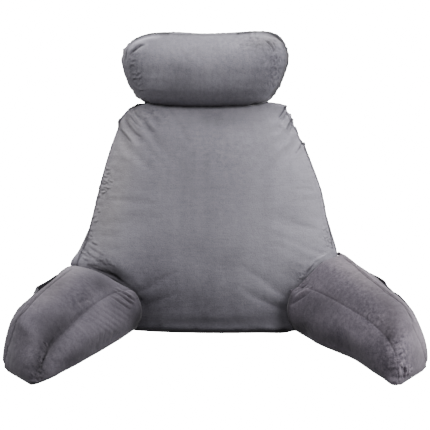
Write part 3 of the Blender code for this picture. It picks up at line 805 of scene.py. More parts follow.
backMake = {
    "voxel": 0.005, "smaller": 0.003, "slack": 0.003, "cap": 0.008, "seed": 11,
    "nudges": [(304, 143, 44, 9, 65, (0.0036, 0, 0)), (285, 103, 4, 4, 0, (0.0055, 0, 0.003)),
               (75, 262, 6, 9, 0, (-0.008, 0, 0)), (291, 115, 5, 6, 50, (0.0035, 0, 0.003)),
               (288, 109.5, 2.5, 2.5, 0, (-0.004, 0, 0)),
               (137, 104, 8, 4, -20, (-0.0012, 0, 0.0006)),
               (120, 119, 5, 8, 0, (-0.003, 0, 0.0015)), (278, 328, 14, 7, 0, (0, -0.01, 0)),
               (222, 326, 85, 9, 0, (0, -0.02, 0))],
    # front left, right and top, then rear left, right and top
    "seams": [(1.6, 2, 12, 0.4, (0.1, 0.34, 0.8)), (1.6, 2, 12, 0.4, (0.25, 0.42, 0.7)),
              (0.6, 2.2, 14, 0.3), (2.2, 2.2, 16, 0.6), (2.2, 2.2, 16, 0.6), (1.8, 2.2, 14, 0.5)],
    "creases": [   # left shoulder, left side, right shoulder
        crease(1, 1.8, 0.2, 0, [(146, 102), (139, 104), (133, 107), (127, 111), (123, 115),
               (120, 121), (117, 128), (114, 137), (110, 150), (107, 158), (104, 167), (103, 176),
               (101, 183), (99, 190)], heap=0, ends=(0.02, 0.2), outline=True),
        crease(2, 2.6, 0.45, 0, [(149, 102), (142, 103), (136, 105.5), (131, 108.5)],
               heap=0.5, ends=(0.2, 0.3)),
        crease(1.8, 2.4, 0.16, 0.1, [(130, 114), (132, 119), (136, 124), (140, 128)],
               [(125, 118), (128, 124), (132, 130), (137, 135), (142, 138)],
               [(119, 129), (124, 134), (128, 139), (131, 143)],
               [(134, 110), (136, 115), (140, 118)],
               [(131, 111), (134, 118), (139, 125), (142, 128)]),
        crease(0.6, 4, 0.05, 0, [(144, 123), (150, 130), (156, 134)], heap=0.5),
        crease(1, 1.8, 0.2, 0.1, *crumples([(105, 165), (108, 177), (104, 193), (99, 200)],
               2.6, 26, 5, 5, (-35, 25))),
        crease(0.9, 1.8, 0.18, 0.1, *crumples([(97, 210), (92, 222), (90, 238)],
               2.6, 18, 5, 8, (-30, 30))),
        crease(1.4, 2, 0.26, 0.08, [(85, 239), (91, 243), (98, 246)], [(88, 217), (94, 219)]),
        crease(0.9, 1.8, 0.2, 0.2, *crumples([(324, 226), (327, 238), (330, 248)],
               2, 16, 4.5, 9, (-50, 20))),
        crease(0.7, 2.2, 0.08, 0.06, *crumples([(135, 110), (150, 115), (160, 112)],
               4, 10, 5, 12)),
        crease(0.8, 2.6, 0.08, 0.05, [(84, 251), (90, 256), (97, 260), (106, 264)],
               [(88, 247), (96, 252), (105, 257)], [(79, 257), (84, 260), (90, 262)]),
        crease(0.7, 1.9, 0.12, 0.06, *crumples([(80, 252), (92, 258), (110, 265)],
               3, 22, 4.5, 16, (0, 70))),
        crease(1.2, 1.8, 0.25, 0, [(86.4, 240), (81.9, 255), (73.6, 264.8)],
               heap=0, ends=(0.1, 0.1), outline=True),
        crease(3, 2.4, 0.25, 0.15, [(285.5, 107), (282, 113), (278.5, 118)],
               [(289, 110), (285, 116), (281, 121.5)], [(290.5, 112), (285.5, 119)],
               [(293, 116.5), (289, 124), (286.5, 129)], [(294.5, 120), (291, 126), (288.5, 130)],
               [(297, 124), (293, 129)], [(304.5, 141), (299, 149), (295.5, 154)],
               heap=0.8, ends=(0.05, 0.45), outline=True),
        crease(-1.4, 4, 0, 0.12, [(292, 132), (287, 142), (285, 148)], [(283, 120), (280, 127)]),
        crease(0.8, 2, 0.3, 0, [(297, 129), (303, 143), (309, 157), (315, 170), (320, 183),
               (323, 197), (326, 212), (330, 230), (332, 247)],
               heap=0, ends=(0.03, 0.03), outline=True),
    ],
    "paintedShadeLines": [   # painted shade, with painted highlights below nought: left outline, right outline, right shoulder, left joint, beside the arms
        ([(146, 101.5), (139, 103.5), (133, 106.5), (127, 110.5), (123, 114.5), (120, 120.5),
         (117, 127.5), (110, 149), (104, 166), (101, 182), (97, 200), (92, 218), (87, 236),
         (80, 255)], 1.1, 0.42),
        ([(149, 101), (142, 102.5), (135, 106)], 1.8, 0.6),
        ([(297, 129), (303, 142), (309, 156.5), (315, 170), (320.5, 183), (323.5, 197),
         (326.5, 212), (330, 230), (332.5, 247)], 1.1, 0.42),
        ([(296.5, 128), (299, 134)], 1, 0.5),
        ([(301.5, 141), (309, 156.5)], 1.1, 0.4),
        ([(285.2, 107), (282.4, 111.6), (279.4, 116.8)], 1, 0.5),
        ([(287.4, 112), (285, 117), (282.1, 123.6)], 0.9, -0.28),
        ([(286.6, 113.4), (284, 118), (281.4, 122)], 0.8, 0.28),
        ([(292.2, 119.6), (289.6, 124), (287, 128.6)], 1, 0.5),
        ([(290.4, 118.6), (287.4, 123), (285, 127)], 0.9, -0.25),
        ([(293.8, 124.6), (292, 127), (290.6, 129)], 0.9, 0.5),
        ([(294, 127.4), (291, 132)], 0.9, -0.2),
        ([(303, 141.5), (299, 148), (295.5, 153)], 1, 0.22),
        ([(301, 139), (296, 146), (292.5, 151)], 1, -0.12),
        ([(88, 264.5), (97, 266.5), (106, 270), (114, 274.5), (121, 280), (129, 285.5), (136, 292),
         (141.5, 300)], 1.4, 0.42),
        ([(102, 262), (113, 268), (124, 275), (134, 284), (143, 296)], 5, 0.24),
        ([(143, 300), (145, 308), (143, 320), (137, 330)], 6, 0.2),
        ([(289, 296), (284, 306), (282, 316), (286, 328)], 6, 0.2),
    ],
    "touches": [   # painted shade, and painted light below nought: top middle, left shoulder and side, right side, low on either side
        (160, 140, 28, 22, 0, 0.1), (190, 165, 22, 28, 0, 0.12), (216, 119, 30, 9, 0, 0.2),
        (114, 150, 9, 28, 0, -0.18), (279, 175, 9, 45, 0, -0.14), (300, 150, 14, 25, 0, -0.12),
        (230, 255, 34, 16, 0, 0.13), (297, 272, 17, 14, 0, 0.32), (116, 276, 14, 8, 25, 0.38),
        (98, 268, 16, 5, 10, 0.22), (154, 305, 14, 18, 0, 0.36), (284, 312, 12, 20, 0, 0.34),
        (190, 300, 40, 22, 0, 0.16), (225, 306, 60, 16, 0, 0.08), (117, 155, 12, 26, 0, -0.12),
        (280, 195, 10, 40, 0, -0.08), (305, 165, 12, 30, 15, -0.1), (190, 245, 18, 14, 0, 0.12),
        (134, 146, 11, 22, 0, -0.22), (122, 195, 14, 20, 0, -0.14), (281, 119, 8, 10, 0, -0.26),
        (105, 261, 16, 7, 20, 0.22), (119, 277, 12, 7, 30, 0.2), (205, 319, 75, 7, 0, 0.26),
        (213, 322, 85, 8, 0, 0.42), (281, 332, 8, 6, 0, 0.5), (255, 315, 20, 6, 0, 0.14),
        (77, 254, 6, 11, 15, -0.5), (279, 101, 10, 5, 0, -0.2), (303, 148, 10, 18, 20, -0.12),
        (243, 138, 14, 8, 0, -0.1), (117, 247, 10, 8, 0, 0.1), (228, 262, 20, 10, 0, 0.08),
        (135, 101, 8, 5, 0, 0.35), (225, 119, 50, 8, 0, 0.06)],
    "crushed": 0.25,
    "crushes": [
        (145, 115, 25, 12, 0, 0.6), (106, 180, 9, 28, 0, 0.8), (91, 230, 8, 18, 0, 0.6),
        (300, 120, 12, 16, 0, 0.5), (327, 235, 7, 16, 0, 0.8), (98, 260, 22, 10, 0, 0.7),
        (300, 268, 14, 12, 0, 0.6), (225, 150, 40, 16, 0, 0.5)],
    "faded": [(122, 150, 16, 60, 12, 1), (106, 215, 18, 45, 15, 0.8)],
    "boxing": (-0.15, 0.0015),     # painted shade on the boxing, laid as a darker pile, and how soon past the seam
    "pile": 0.52,
    "paintedLightStrokes": [   # middle, reach, amount; painted light makes the sides stand out pale, painted shade makes the foot dark
        ((0.19, -0.05, 0.23), (0.06, 1, 0.12), 0.48),
        ((0.12, -0.05, 0.37), (0.07, 1, 0.06), 0.18),
        ((-0.2, -0.05, 0.23), (0.05, 1, 0.1), 0.2),
        ((0.07, -0.1, 0.23), (0.04, 1, 0.15), 0.1),
        ((0, -0.12, 0), (0.4, 1, 0.095), -0.26),
        ((-0.12, -0.12, 0.11), (0.07, 1, 0.06), -0.16),
        ((0.11, -0.12, 0.13), (0.06, 1, 0.06), 0.1),
    ],
}

backPiece = copyOfNode("back_cushion", "backCushion")
backLines = backSeams()
puff(backPiece, backMake, backLines)
backCreases, creaseRuns = sewCushion(backPiece, backMake, backLines)
backPoints = readPoints(backPiece.data)
paintPileAndLight(backPiece, backPoints, backMake["pile"], backMake["paintedLightStrokes"])

# painted shade: the boxing, past the front seams on either side, is made darker than the front
# panel
seamRows = np.array(backCut["seam"])
seamInset = np.array([insetAt(height) for height in seamRows[:, 0]])
pastLeft, pastRight = (hand * backPoints[:, 0] - np.interp(
    backPoints[:, 2], seamRows[:, 0], seamRows[:, k] - seamInset[:, k - 1])
    for hand, k in ((-1.0, 1), (1.0, 2)))
darker, within = backMake["boxing"]
past = np.clip(np.maximum(pastLeft, pastRight) / within, 0.0, 1.0)
keepValues(backPiece.data, "pileAndPaintedLight", readValues(backPiece.data, "pileAndPaintedLight") + darker * past)
paintShadeAndMottle(backPiece, backMake)
pressCreases(backPiece, backCreases, creaseRuns)
finishCushion(backPiece, makeVelour("backVelour"), ["back_cushion"])


rollMake = {
    "voxel": 0.0042, "smaller": 0.002, "slack": 0.006, "cap": 0.006, "seed": 23,
    "nudges": [(288, 62, 14, 26, 0, (0.0036, 0, 0)), (124, 62, 12, 24, 0, (-0.0018, 0, 0)),
               (264, 32, 16, 8, 0, (0, 0, 0.0025))],
    "seams": [(2.4, 2, 14, 0.9), (2.4, 2, 14, 0.9), (2, 2, 12, 0.4)],   # left, right, top
    "paintedShadeLines": [   # painted shade where the rear panel would show in shadow over the top and past the right end, painted highlights below nought, and painted shadow low down where it rests on the back
        ([(137, 38), (145, 34.7), (155, 33.4), (168, 33.4)], 1.8, 0.85),
        ([(168, 33.4), (178, 34.8), (205, 35.2), (238, 34)], 1, 0.35),
        ([(238, 33.4), (249, 32.2), (259, 31.4), (267, 32), (276, 35.5), (282, 41.5), (286, 49),
         (287.8, 56), (287.6, 63), (286, 69), (282, 80), (278, 88), (272, 96)], 1.7, 0.85),
        ([(124, 60), (126, 51), (131, 44), (137, 38.5)], 1.2, 0.4),
        ([(129, 47), (137, 41.5), (148, 38), (158, 36.8)], 2.2, -0.6),
        ([(131, 54), (135, 50), (140, 46.5), (144, 45.5)], 1.6, 0.45),
        ([(132, 56.5), (137, 52.5), (143, 48), (149, 44)], 1.3, -0.22),
        ([(268, 41.5), (272, 45), (274, 50)], 1.3, 0.22),
        ([(262, 37), (270, 39), (278, 42), (284, 48)], 1.8, -0.2),
        ([(150, 102.5), (180, 104), (215, 104.5), (250, 103), (262, 101)], 2.2, 0.35),
    ],
    "creases": [   # top outline, right outline, left end, right end
        crease(0.8, 2.6, 0.3, 0, [(137.5, 38), (145, 34.5), (155, 33), (162, 32.8), (168, 33),
               (175, 34.2), (190, 34.5), (205, 34.5)],
               [(240, 33.5), (249, 32.5), (259, 31.2), (265, 31.5), (271, 33)],
               heap=0, ends=(0.1, 0.1), outline=True),
        crease(1, 3.2, 0.3, 0, [(266, 32), (276, 36.5), (282, 42), (286, 49)],
               heap=0, ends=(0.1, 0.2), outline=True),
        crease(0.8, 2.2, 0.3, 0, [(286, 47), (287.8, 54), (287.8, 63), (286, 67), (282, 79),
               (279, 85), (275, 94), (269, 99), (265, 101.5)],
               heap=0, ends=(0.05, 0.1), outline=True),
        crease(1.8, 1.8, 0.45, 0, [(137, 39), (130, 45), (127, 50), (126, 58), (126.5, 65)],
               heap=0.3, ends=(0.1, 0.3)),
        crease(-1.8, 3.6, 0, 0.5, [(132, 45), (140, 41), (148, 38.5), (157, 37)]),
        crease(4, 2.8, 0.6, 0, [(131, 53), (135, 49), (140, 45.5), (144, 45)],
               heap=0.3, ends=(0.2, 0.35)),
        crease(-1.2, 2, 0, 0.3, [(130, 56), (135, 53), (140, 49), (148, 44)]),
        crease(0.6, 2, 0.14, 0.05, *crumples([(131, 52), (132, 64), (136, 78), (139, 92)],
               2.6, 22, 4.5, 21, (-70, 30))),
        crease(0.6, 2, 0.1, 0.08, *crumples([(270, 44), (277, 60), (276, 78), (272, 90)],
               2.8, 22, 4.5, 22, (30, 110))),
        crease(0.7, 2.4, 0.08, 0.08, *crumples([(238, 40), (262, 40), (270, 50)], 4, 12, 6, 24)),
        crease(-1.2, 2.6, 0, 0.3, [(261, 36), (269, 38), (277, 40), (283, 45), (286, 52)]),
        crease(2.2, 2.2, 0.28, 0.1, [(265, 40), (269, 43.5), (272, 47), (273, 51)],
               [(273, 42), (275, 48)]),
    ],
    "touches": [   # painted shade, and painted light below nought: either side of the middle, low down, the shoulders, the top
        (153, 83, 13, 9, 0, -0.4), (220, 83, 28, 9, 0, -0.4), (180, 66, 16, 10, 0, 0.2),
        (138, 45, 9, 5, -30, -0.3), (255, 35, 16, 5, 0, -0.28), (232, 47, 14, 8, 0, -0.12),
        (133, 62, 5, 12, 0, 0.24), (134, 84, 6, 8, 0, 0.1), (258, 45, 14, 7, 0, 0.16),
        (280, 48, 6, 7, 0, -0.15), (280, 82, 6, 8, 0, -0.15)],
    "crushed": 0.3,
    "crushes": [
        (132, 65, 8, 24, 0, 0.8), (276, 65, 9, 26, 0, 0.7), (250, 42, 26, 9, 0, 0.5)],
    "faded": [(268, 40, 22, 8, 0, 0.7)],
    # it sinks onto the back: below which height, fading over, by how much; and the shade there
    "rest": (0.430, 0.03, 0.005), "restShade": (0.85, 0.005),
    "pile": 0.52,
    # painted shade on either end and painted light along the top: middle, reach, amount
    "paintedLightStrokes": [
        ((0.11, 0.06, 0.49), (0.05, 1, 0.06), -0.2),
        ((-0.16, 0.06, 0.47), (0.04, 1, 0.06), -0.1),
        ((0.01, 0.02, 0.53), (0.12, 1, 0.025), 0.14),
    ],
}

rollPiece = copyOfNode("neck_roll", "neckRoll")
rollLines = rollSeams()
puff(rollPiece, rollMake, rollLines)
rollCreases, creaseRuns = sewCushion(rollPiece, rollMake, rollLines)
paintPileAndLight(rollPiece, readPoints(rollPiece.data), rollMake["pile"], rollMake["paintedLightStrokes"])
paintShadeAndMottle(rollPiece, rollMake)
pressCreases(rollPiece, rollCreases, creaseRuns)
layOn(rollPiece, backPiece, *rollMake["rest"])
darkest, within = rollMake["restShade"]
for piece, neighbour in ((rollPiece, backPiece), (backPiece, rollPiece)):
    far, _ = farFrom(readPoints(piece.data), neighbour, coverMake["search"])
    deepen(piece.data, darkest * np.exp(-(far / within) ** 2))
finishCushion(rollPiece, makeVelour("rollVelour"), ["neck_roll"])


ribPath = [(103.7, 299.4), (114.2, 306.1), (124.7, 313.6), (132.3, 319.7)]
armBase = {"voxel": 0.0038, "smaller": 0.002, "slack": 0.006, "stiffness": 0.4, "cap": 0.006,
           "crushed": 0.2}
armMake = {
    "left": {
        **armBase, "finish": "leftArmVelour", "seed": 31,
        "nudges": [(28, 302, 24, 8, -45, (-0.0024, 0, 0.002)),
                   (66, 269, 14, 6, -30, (-0.003, 0, 0.003)), (138, 312, 7, 16, 0, (0.008, 0, 0))],
        # inner seam and its nose, outer seam and its nose
        "seams": [(1.2, 2.6, 14, 0.3), (1.8, 2.4, 16, 1), (0.6, 2, 12, 0.3), (1.6, 2, 16, 0.8)],
        # the joint to the back: in from how far, how deep, and the shade below and above a height
        "joint": {"width": 0.009, "depth": 0.0012, "above": 0.08, "low": 0.2, "high": 0.85},
        # the blunt edge over the nose is stuffed round: middle in the arm's plan, reach, rounds
        "soften": ((0.268, 0.037, 0.07), 0.036, 90),
        "paintedShadeLines": [   # painted shade along the twin seam with a painted highlight on its ridge, painted shade at the end beside the back and along the seam of the inner panel
            ([(72, 268.6), (61.5, 275.8), (51, 284), (41.5, 291.8), (32.5, 300.6), (24.6, 309.6),
             (17.4, 317.6), (12.4, 325.5)], 0.8, 0.34),
            ([(70, 267.4), (60, 274.6), (49.6, 282.6), (40, 290.4), (31, 299.2), (23.2, 308.2),
             (15.8, 316.4), (10.8, 324.5)], 0.8, -0.22),
            ([(139, 294), (143, 301), (143.5, 310), (141.5, 319), (135, 329)], 4.5, 0.55),
            ([(54, 338), (49, 346), (45, 356), (41, 368)], 1.2, 0.22),
        ],
        "creases": [   # folds at the root, ribs on the inner panel, twin seam, tip
            crease(2.6, 2.4, 0.3, 0.12,
                   [(108, 275), (120.2, 280.6), (129.2, 286.6), (136, 292.6), (140.5, 300.1)],
                   [(115, 288.6), (127.7, 295.6), (135.3, 301.6)],
                   [(113, 291), (126.2, 299.4), (135.3, 306.1)], heap=0.8, ends=(0.35, 0.3)),
            crease(1.8, 2.6, 0.2, 0.08, [(109, 296), (123.2, 304.6), (132.3, 310.6)]),
            crease(0.4, 2.8, 0.04, 0.03, *[[(x - 3.9 * k, y + 3.4 * k) for x, y in ribPath]
                                           for k in range(6)], heap=0.8),
            crease(1.2, 1.4, 0.38, 0.1, [(71.4, 270), (61.4, 277), (51, 285.2), (42, 292.8),
                   (33, 301.6), (25.5, 310.4), (18.5, 318), (14, 325)], [(68, 270.6),
                   (58.3, 277.2), (47.6, 284.2), (38.4, 292.8), (30.2, 301.2), (22.8, 310),
                   (16.8, 317)], heap=0.5, ends=(0.05, 0.1)),
            crease(-1.6, 3.2, 0, 0.18, [(45, 361), (48, 351.2), (52.6, 343.7)]),
            crease(2, 7.5, 0.26, 0, [(98, 304), (85, 311), (74, 320), (64, 329), (54, 338),
                   (47, 348), (42, 358)], heap=0, ends=(0.3, 0.3)),
            crease(0.8, 1.8, 0.16, 0.1, *crumples([(47, 345), (41, 358), (37, 370), (36, 381)],
                   2.6, 26, 4.5, 31, (30, 120))),
            crease(0.5, 2.2, 0.08, 0.06, *crumples([(86, 299), (82, 308), (88, 304)],
                   3.5, 10, 4.5, 33)),
        ],
        # folds that run across the joint, on whichever cushion shows there
        "across": [
            crease(2.4, 2, 0.6, 0,
                   [(91, 267.6), (98, 269.8), (105.2, 272.3), (114.2, 276.1), (121, 280.2)],
                   heap=0.3),
            crease(-1.2, 1.8, 0, 0.2, [(92, 266.5), (99, 268.4), (106, 270.8), (113, 274)]),
        ],
        "touches": [   # painted shade, and painted light below nought: along the inner seam, inner panel, root, outer edge
            (47, 350, 30, 11, -58, 0.5), (60, 322, 14, 9, -40, 0.32), (72, 360, 16, 9, -30, 0.38),
            (92, 345, 20, 12, -30, 0.16), (120, 302, 14, 16, 0, 0.26), (136, 316, 8, 18, 0, 0.42),
            (102, 284, 16, 7, 25, 0.34), (45, 297, 14, 7, -42, -0.24), (86, 297, 18, 10, -38, 0.2),
            (42, 376, 8, 10, 0, 0.35), (24, 318, 12, 7, -50, -0.18), (9, 345, 5, 20, 0, -0.15),
            (45, 335, 8, 10, 0, 0.25), (35, 366, 12, 10, 0, 0.24), (46, 318, 10, 7, -40, 0.22),
            (100, 281, 10, 6, 20, 0.08), (68, 282, 14, 9, -35, -0.16)],
        "crushes": [
            (45, 355, 16, 14, -50, 0.8), (80, 298, 16, 12, -35, 0.6), (14, 340, 10, 16, 0, 0.5)],
        "faded": [(55, 288, 28, 9, -38, 1)],
        "pile": 0.28,
        "paintedLightStrokes": [   # painted light and painted shade, in the arm's own plan, and on which panel
            ((0.15, 0.03, 0.12), (0.13, 0.035, 0.035), -0.1, "top"),
            ((0.1, 0.105, 0.125), (0.09, 0.03, 0.04), 0.36, "top"),
            ((0, 0.06, 0.13), (0.04, 0.06, 0.03), -0.14),
            ((0.12, -0.01, 0.05), (0.12, 0.03, 0.06), -0.04, "inner"),
        ],
    },
    "right": {
        **armBase, "finish": "rightArmVelour", "seed": 47,
        "nudges": [(411, 312, 20, 10, 50, (0.0032, 0, 0.0022)),
                   (422, 345, 14, 6, 80, (0.0035, 0, 0)),
                   (398, 299, 12, 6, 45, (0.0015, 0, 0.003)),
                   (374, 279, 20, 6, 40, (0.003, 0, 0.002)),
                   (391, 383, 8, 5, 0, (-0.003, -0.012, 0)), (289, 310, 7, 16, 0, (-0.005, 0, 0))],
        "seams": [(1.2, 2, 14, 0.3), (1.4, 2, 16, 0.8), (0.6, 2, 12, 0.3), (1.6, 2, 16, 0.8)],
        "joint": {"width": 0.009, "depth": 0.0012, "above": 0.08, "low": 0.2, "high": 0.35},
        "soften": ((0.268, 0.04, 0.08), 0.03, 30),
        # it stands fuller at its root: middle and reach in its plan, height, above where
        "swell": ((0, 0.045, 0.13), (0.06, 0.04, 0.045), 0.011, 0.02),
        "paintedShadeLines": [   # painted shade along the twin seam with a painted highlight on its ridge, painted shade at the end beside the back
            ([(340.5, 254.4), (350, 261.5), (359.5, 269.6), (366.5, 275.6), (374, 282),
             (388, 292.4), (401, 302.4), (408.6, 311.4), (413.4, 322)], 0.8, 0.34),
            ([(342.5, 253.6), (352, 260.6), (361.5, 268.4), (368.5, 274.4), (376, 280.6),
             (390, 291), (402.8, 300.8), (410.6, 310.2), (415.6, 321.4)], 0.8, -0.22),
            ([(290, 297), (286, 304), (285, 314), (288, 325)], 4, 0.66),
        ],
        "creases": [   # twin seam, tip
            crease(1.2, 1.4, 0.38, 0.1, [(335.6, 252), (343.1, 257.3), (352.1, 264),
                   (361.2, 272.3), (370.2, 279.8), (379.2, 286.6), (388.2, 294.1), (397.2, 300.1),
                   (404.7, 307.6), (410.7, 316.6), (415.3, 325.7)], [(338, 252), (345.2, 257),
                   (354.2, 263.8), (363.3, 272), (372.3, 279.5), (381.3, 286.4), (390.2, 293.8),
                   (399, 300), (406.6, 308), (412.6, 317)], heap=0.5, ends=(0.05, 0.1)),
            crease(0.8, 1.8, 0.13, 0.14,
                   *crumples([(398, 350), (403, 362), (404, 374), (410, 368)],
                   3, 24, 4.5, 41, (40, 130))),
            crease(0.5, 1.9, 0.08, 0.08, *crumples([(372, 312), (385, 326), (398, 342)],
                   3, 16, 3.6, 43)),
            crease(4, 2.2, 0.55, 0, [(404.5, 366), (404.7, 372.3), (403.5, 379)],
                   heap=0.5, ends=(0.3, 0.2)),
            crease(-1.6, 2.4, 0, 0.3, [(400.2, 367), (400, 373), (399.5, 379)],
                   [(409, 364), (409, 370), (408, 376)]),
        ],
        "across": [
            crease(-1, 2.2, 0, 0.18, [(330, 250.5), (324, 255.8), (315, 260.5), (308, 266.8)]),
            crease(2.2, 2.2, 0.4, 0, [(314.5, 264), (308.5, 270.8), (306, 275.5)], heap=0.3),
            crease(0.6, 1.9, 0.14, 0.1, *crumples([(304, 270), (300, 278), (306, 284)],
                   2.6, 18, 4, 45, (-60, 60))),
            crease(-3.4, 3.4, 0, 0.22, [(311, 287.5), (302.5, 292.6), (295, 297), (288, 301)]),
            crease(2, 2.6, 0.28, 0, [(308, 284.5), (300, 288.5), (293, 293), (287, 297)],
                   heap=0.2),
            crease(1.8, 3, 0.22, 0, [(311, 291.5), (303, 297), (296, 301.5), (289, 306)],
                   heap=0.2),
        ],
        # painted shade, and painted light below nought
        "touches": [
            (315, 305, 18, 16, 0, 0.32), (297, 326, 12, 14, 0, 0.3), (297, 333, 12, 7, 0, 0.3),
            (392, 336, 10, 9, 0, 0.2), (378, 320, 16, 10, 40, 0.16), (351, 299, 12, 6, 40, 0.1),
            (305, 280, 8, 8, 0, 0.2), (333, 299, 12, 7, 35, 0.2), (387, 302, 12, 8, 40, 0.25),
            (393, 320, 10, 12, 0, 0.3), (408, 364, 9, 14, 0, -0.4), (421, 372, 7, 7, 0, -0.35),
            (352, 336, 16, 6, 25, -0.52), (297, 331, 12, 8, 0, 0.2), (402, 317, 20, 8, 40, 0.12),
            (387, 336, 8, 9, 0, 0.28), (407, 340, 7, 10, 0, -0.4), (406, 381, 6, 3, 0, -0.5)],
        "crushes": [
            (400, 350, 18, 26, 0, 0.8), (372, 318, 18, 14, 40, 0.7), (345, 275, 26, 12, 38, 0.5),
            (304, 278, 9, 12, 0, 0.8)],
        "faded": [(362, 278, 42, 9, 38, 0.9)],
        "pile": 0.3,
        # painted light and painted shade, in the arm's own plan, and on which panel
        "paintedLightStrokes": [
            ((0.13, 0.03, 0.125), (0.1, 0.028, 0.03), -0.08, "top"),
            ((0.09, 0.085, 0.135), (0.14, 0.035, 0.03), 0.24, "top"),
            ((0.27, 0.09, 0.06), (0.05, 0.04, 0.05), 0.7, "top"),
            ((0.255, 0.035, 0.09), (0.03, 0.03, 0.03), 0.16, "top"),
            ((0.13, -0.01, 0.04), (0.14, 0.03, 0.06), -0.1, "inner"),
        ],
    },
}


def planOf(side, points):
    # along, out and height of points in an arm's own plan
    corner, along, out = armFrame(side)
    fromCorner = points - np.array(corner)
    return np.stack([fromCorner @ np.array(along), fromCorner @ np.array(out),
                     fromCorner[:, 2]], axis=1)


def onTopPanel(side, inPlan):
    # 0 on an arm's inner panel, 1 on the boxing and beyond
    rows = np.array(armCut[side])
    ends = np.append(rows[:, 0] + armCut["lead"], armCut["innerTip"])
    heights = np.append(rows[:, 1], 0.0)
    outs = np.append(rows[:, 5], armCut["tipFoot"][side])
    past = (inPlan[:, 2] - np.interp(inPlan[:, 0], ends, heights)
            + inPlan[:, 1] - np.interp(inPlan[:, 0], ends, outs))
    blend = 0.002
    return np.clip(past / blend + 0.5, 0.0, 1.0)


armPieces = {}
for side, make in armMake.items():
    armPiece = copyOfNode("arm_" + side, side + "Arm")
    armLines = armSeams(side)
    puff(armPiece, make, armLines)
    middle, reach, rounds = make["soften"]
    points = readPoints(armPiece.data)
    away = np.linalg.norm(planOf(side, points) - np.array(middle), axis=1)
    weight = coverMake["smooth"] * np.exp(-(away / reach) ** 4)
    writePoints(armPiece.data, relax(armPiece.data, points, weight, rounds))
    if "swell" in make:
        middle, reach, height, aboveFoot = make["swell"]
        points = readPoints(armPiece.data)
        points[:, 2] += (height * swellAt(planOf(side, points), middle, reach)
                         * (points[:, 2] > aboveFoot))
        writePoints(armPiece.data, points)
    armCreases, creaseRuns = sewCushion(armPiece, make, armLines)
    inPlan = planOf(side, readPoints(armPiece.data))
    paintPileAndLight(armPiece, inPlan, make["pile"], make["paintedLightStrokes"], onTopPanel(side, inPlan))
    paintShadeAndMottle(armPiece, make)
    pressCreases(armPiece, armCreases, creaseRuns)
    pair = ((armPiece, backPiece), (backPiece, armPiece))
    for piece, other in pair:
        tuckBeside(piece, other, make["joint"])
    for piece, other in pair:
        across, acrossRuns = creaseLines(piece, make["across"], other)
        if across:
            refineNear(piece, acrossRuns, coverMake["refineAcross"])
            pressCreases(piece, across, acrossRuns)
    finishCushion(armPiece, makeVelour(make["finish"]), ["arm_" + side])
    armPieces[side] = armPiece


# pockets: one sheet of cloth each, on the outer side of each arm

pocketCut = {
    "columns": 48, "rows": 24, "cloth": 0.0012, "seat": 0.0008,
    "from": 0.045, "to": 0.222, "foot": 0.012, "rise": 0.87,
    "gape": {   # share of the mouth's length, how far it stands open there
        "left": [(0.0, 0.0), (0.1, 0.004), (0.2, 0.007), (0.3, 0.011), (0.4, 0.015),
                 (0.5, 0.017), (0.57, 0.006), (0.65, 0.002), (1.0, 0.0)],
        "right": [(0.0, 0.0), (0.1, 0.003), (0.2, 0.006), (0.3, 0.010), (0.38, 0.010),
                  (0.45, 0.005), (0.6, 0.003), (0.7, 0.004), (0.8, 0.002), (1.0, 0.0)],
    },
    "keeps": {   # what its mesh keeps for the velour, with painted shade on the left pocket and painted light on the right one
        "left": {"pileAndPaintedLight": 0.40, "foldShade": 0.05},
        "right": {"pileAndPaintedLight": 0.55, "foldShade": -0.10},
        "both": {"faded": 0.0, "crushed": 0.40, "seamDistance": 0.02},
    },
}

pocketMaterial = makeVelour("pocketVelour")
for side in ("left", "right"):
    corner, along, out = armFrame(side)
    tree = skinOf(armPieces[side])
    bpy.ops.object.select_all(action="DESELECT")
    bpy.ops.mesh.primitive_grid_add(x_subdivisions=pocketCut["columns"],
                                    y_subdivisions=pocketCut["rows"], size=1.0)
    pocket = bpy.context.object
    pocket.name = side + "Pocket"
    gapeTable = np.array(pocketCut["gape"][side])
    rows = np.array([(r[0], r[3]) for r in armCut[side]])
    for vert in pocket.data.vertices:
        u, v = vert.co.x + 0.5, vert.co.y + 0.5
        a = pocketCut["from"] + (pocketCut["to"] - pocketCut["from"]) * u
        mouth = np.interp(a, rows[:, 0], rows[:, 1]) * pocketCut["rise"]
        z = pocketCut["foot"] + (mouth - pocketCut["foot"]) * v
        origin = corner + along * a + out * 0.3 + Vector((0, 0, z))
        hit = tree.ray_cast(origin, -out)[0]
        gape = float(np.interp(u, gapeTable[:, 0], gapeTable[:, 1])) * v ** 1.5
        vert.co = hit + out * (pocketCut["seat"] + gape)
    thick = pocket.modifiers.new("cloth", "SOLIDIFY")
    thick.thickness = pocketCut["cloth"]
    thick.offset = 0.0
    selectOnly(pocket)
    bpy.ops.object.modifier_apply(modifier=thick.name)
    pocket.data.materials.append(pocketMaterial)
    for what, kept in {**pocketCut["keeps"][side], **pocketCut["keeps"]["both"]}.items():
        keepValues(pocket.data, what, np.full(len(pocket.data.vertices), kept))
    bpy.ops.object.shade_smooth()
    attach(pocket, "root")
    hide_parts("pocket_" + side)
    print(pocket.name, "sewn on")


# studio: a pale floor, a softbox overhead, one high in front, one at each side, the right one
# stronger, and a dome that is pale above and dark below

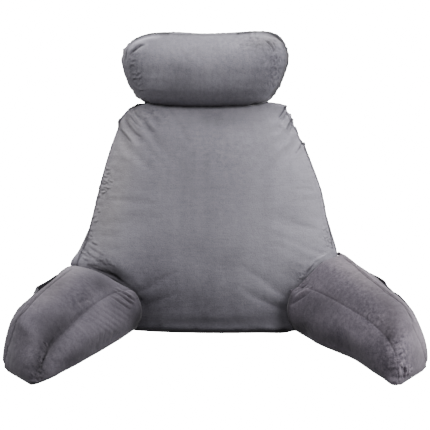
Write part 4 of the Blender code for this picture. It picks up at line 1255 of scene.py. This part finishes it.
studio = {
    "floor": "#fbfbfb", "glow": 20.0, "zenith": 0.40, "horizon": 0.10, "nadir": 0.02,
    "lamps": [   # name, place, aim, size, watts
        ("overheadSoftbox", (0.2, 0.0, 2.4), (0.0, 0.0, 0.2), 1.4, 34.0),
        ("frontSoftbox", (0.3, -2.6, 2.4), (0.0, 0.0, 0.25), 1.4, 26.0),
        ("rightSoftbox", (2.1, -0.7, 1.3), (0.0, 0.0, 0.2), 1.0, 44.0),
        ("leftSoftbox", (-2.1, -0.5, 1.5), (0.0, 0.0, 0.2), 1.0, 22.0),
    ],
}

bpy.ops.object.select_all(action="DESELECT")
bpy.ops.mesh.primitive_plane_add(size=60.0)
floor = bpy.context.object
floor.name = "studioFloor"
floor.visible_diffuse = floor.visible_glossy = False      # or it would light the undersides
paper = bpy.data.materials.new("matPaper")
paper.use_nodes = True
paperShader = paper.node_tree.nodes["Principled BSDF"]
paperShader.inputs["Base Color"].default_value = hexColour(studio["floor"])
paperShader.inputs["Roughness"].default_value = 0.95
paperShader.inputs["Specular IOR Level"].default_value = 0.1
paperShader.inputs["Emission Color"].default_value = (1.0, 1.0, 1.0, 1.0)
paperShader.inputs["Emission Strength"].default_value = studio["glow"]
floor.data.materials.append(paper)

for name, place, aim, size, watts in studio["lamps"]:
    bpy.ops.object.light_add(type="AREA", location=place)
    lamp = bpy.context.object
    lamp.name = name
    lamp.data.size = size
    lamp.data.energy = watts
    lamp.rotation_euler = (Vector(aim) - Vector(place)).to_track_quat("-Z", "Y").to_euler()

world = bpy.data.worlds.new("paleStudio")
world.use_nodes = True
dome = world.node_tree
upward = addNode(dome, "ShaderNodeSeparateXYZ", None,
                 {0: addNode(dome, "ShaderNodeTexCoord").outputs["Generated"]}).outputs[2]
low = addNode(dome, "ShaderNodeMapRange", {"From Min": -0.5, "From Max": 0.0,
                                           "To Min": studio["nadir"],
                                           "To Max": studio["horizon"]}, {"Value": upward})
rise = addNode(dome, "ShaderNodeMapRange", {"From Min": 0.0, "From Max": 1.0, "To Min": 0.0,
                                            "To Max": studio["zenith"] - studio["horizon"]},
               {"Value": upward})
glow = addNode(dome, "ShaderNodeMath", {"operation": "ADD"},
               {0: low.outputs[0], 1: rise.outputs[0]})
dome.links.new(glow.outputs[0], dome.nodes["Background"].inputs["Strength"])
dome.nodes["Background"].inputs["Color"].default_value = (1.0, 1.0, 1.0, 1.0)
scene.world = world
print("studio lit")
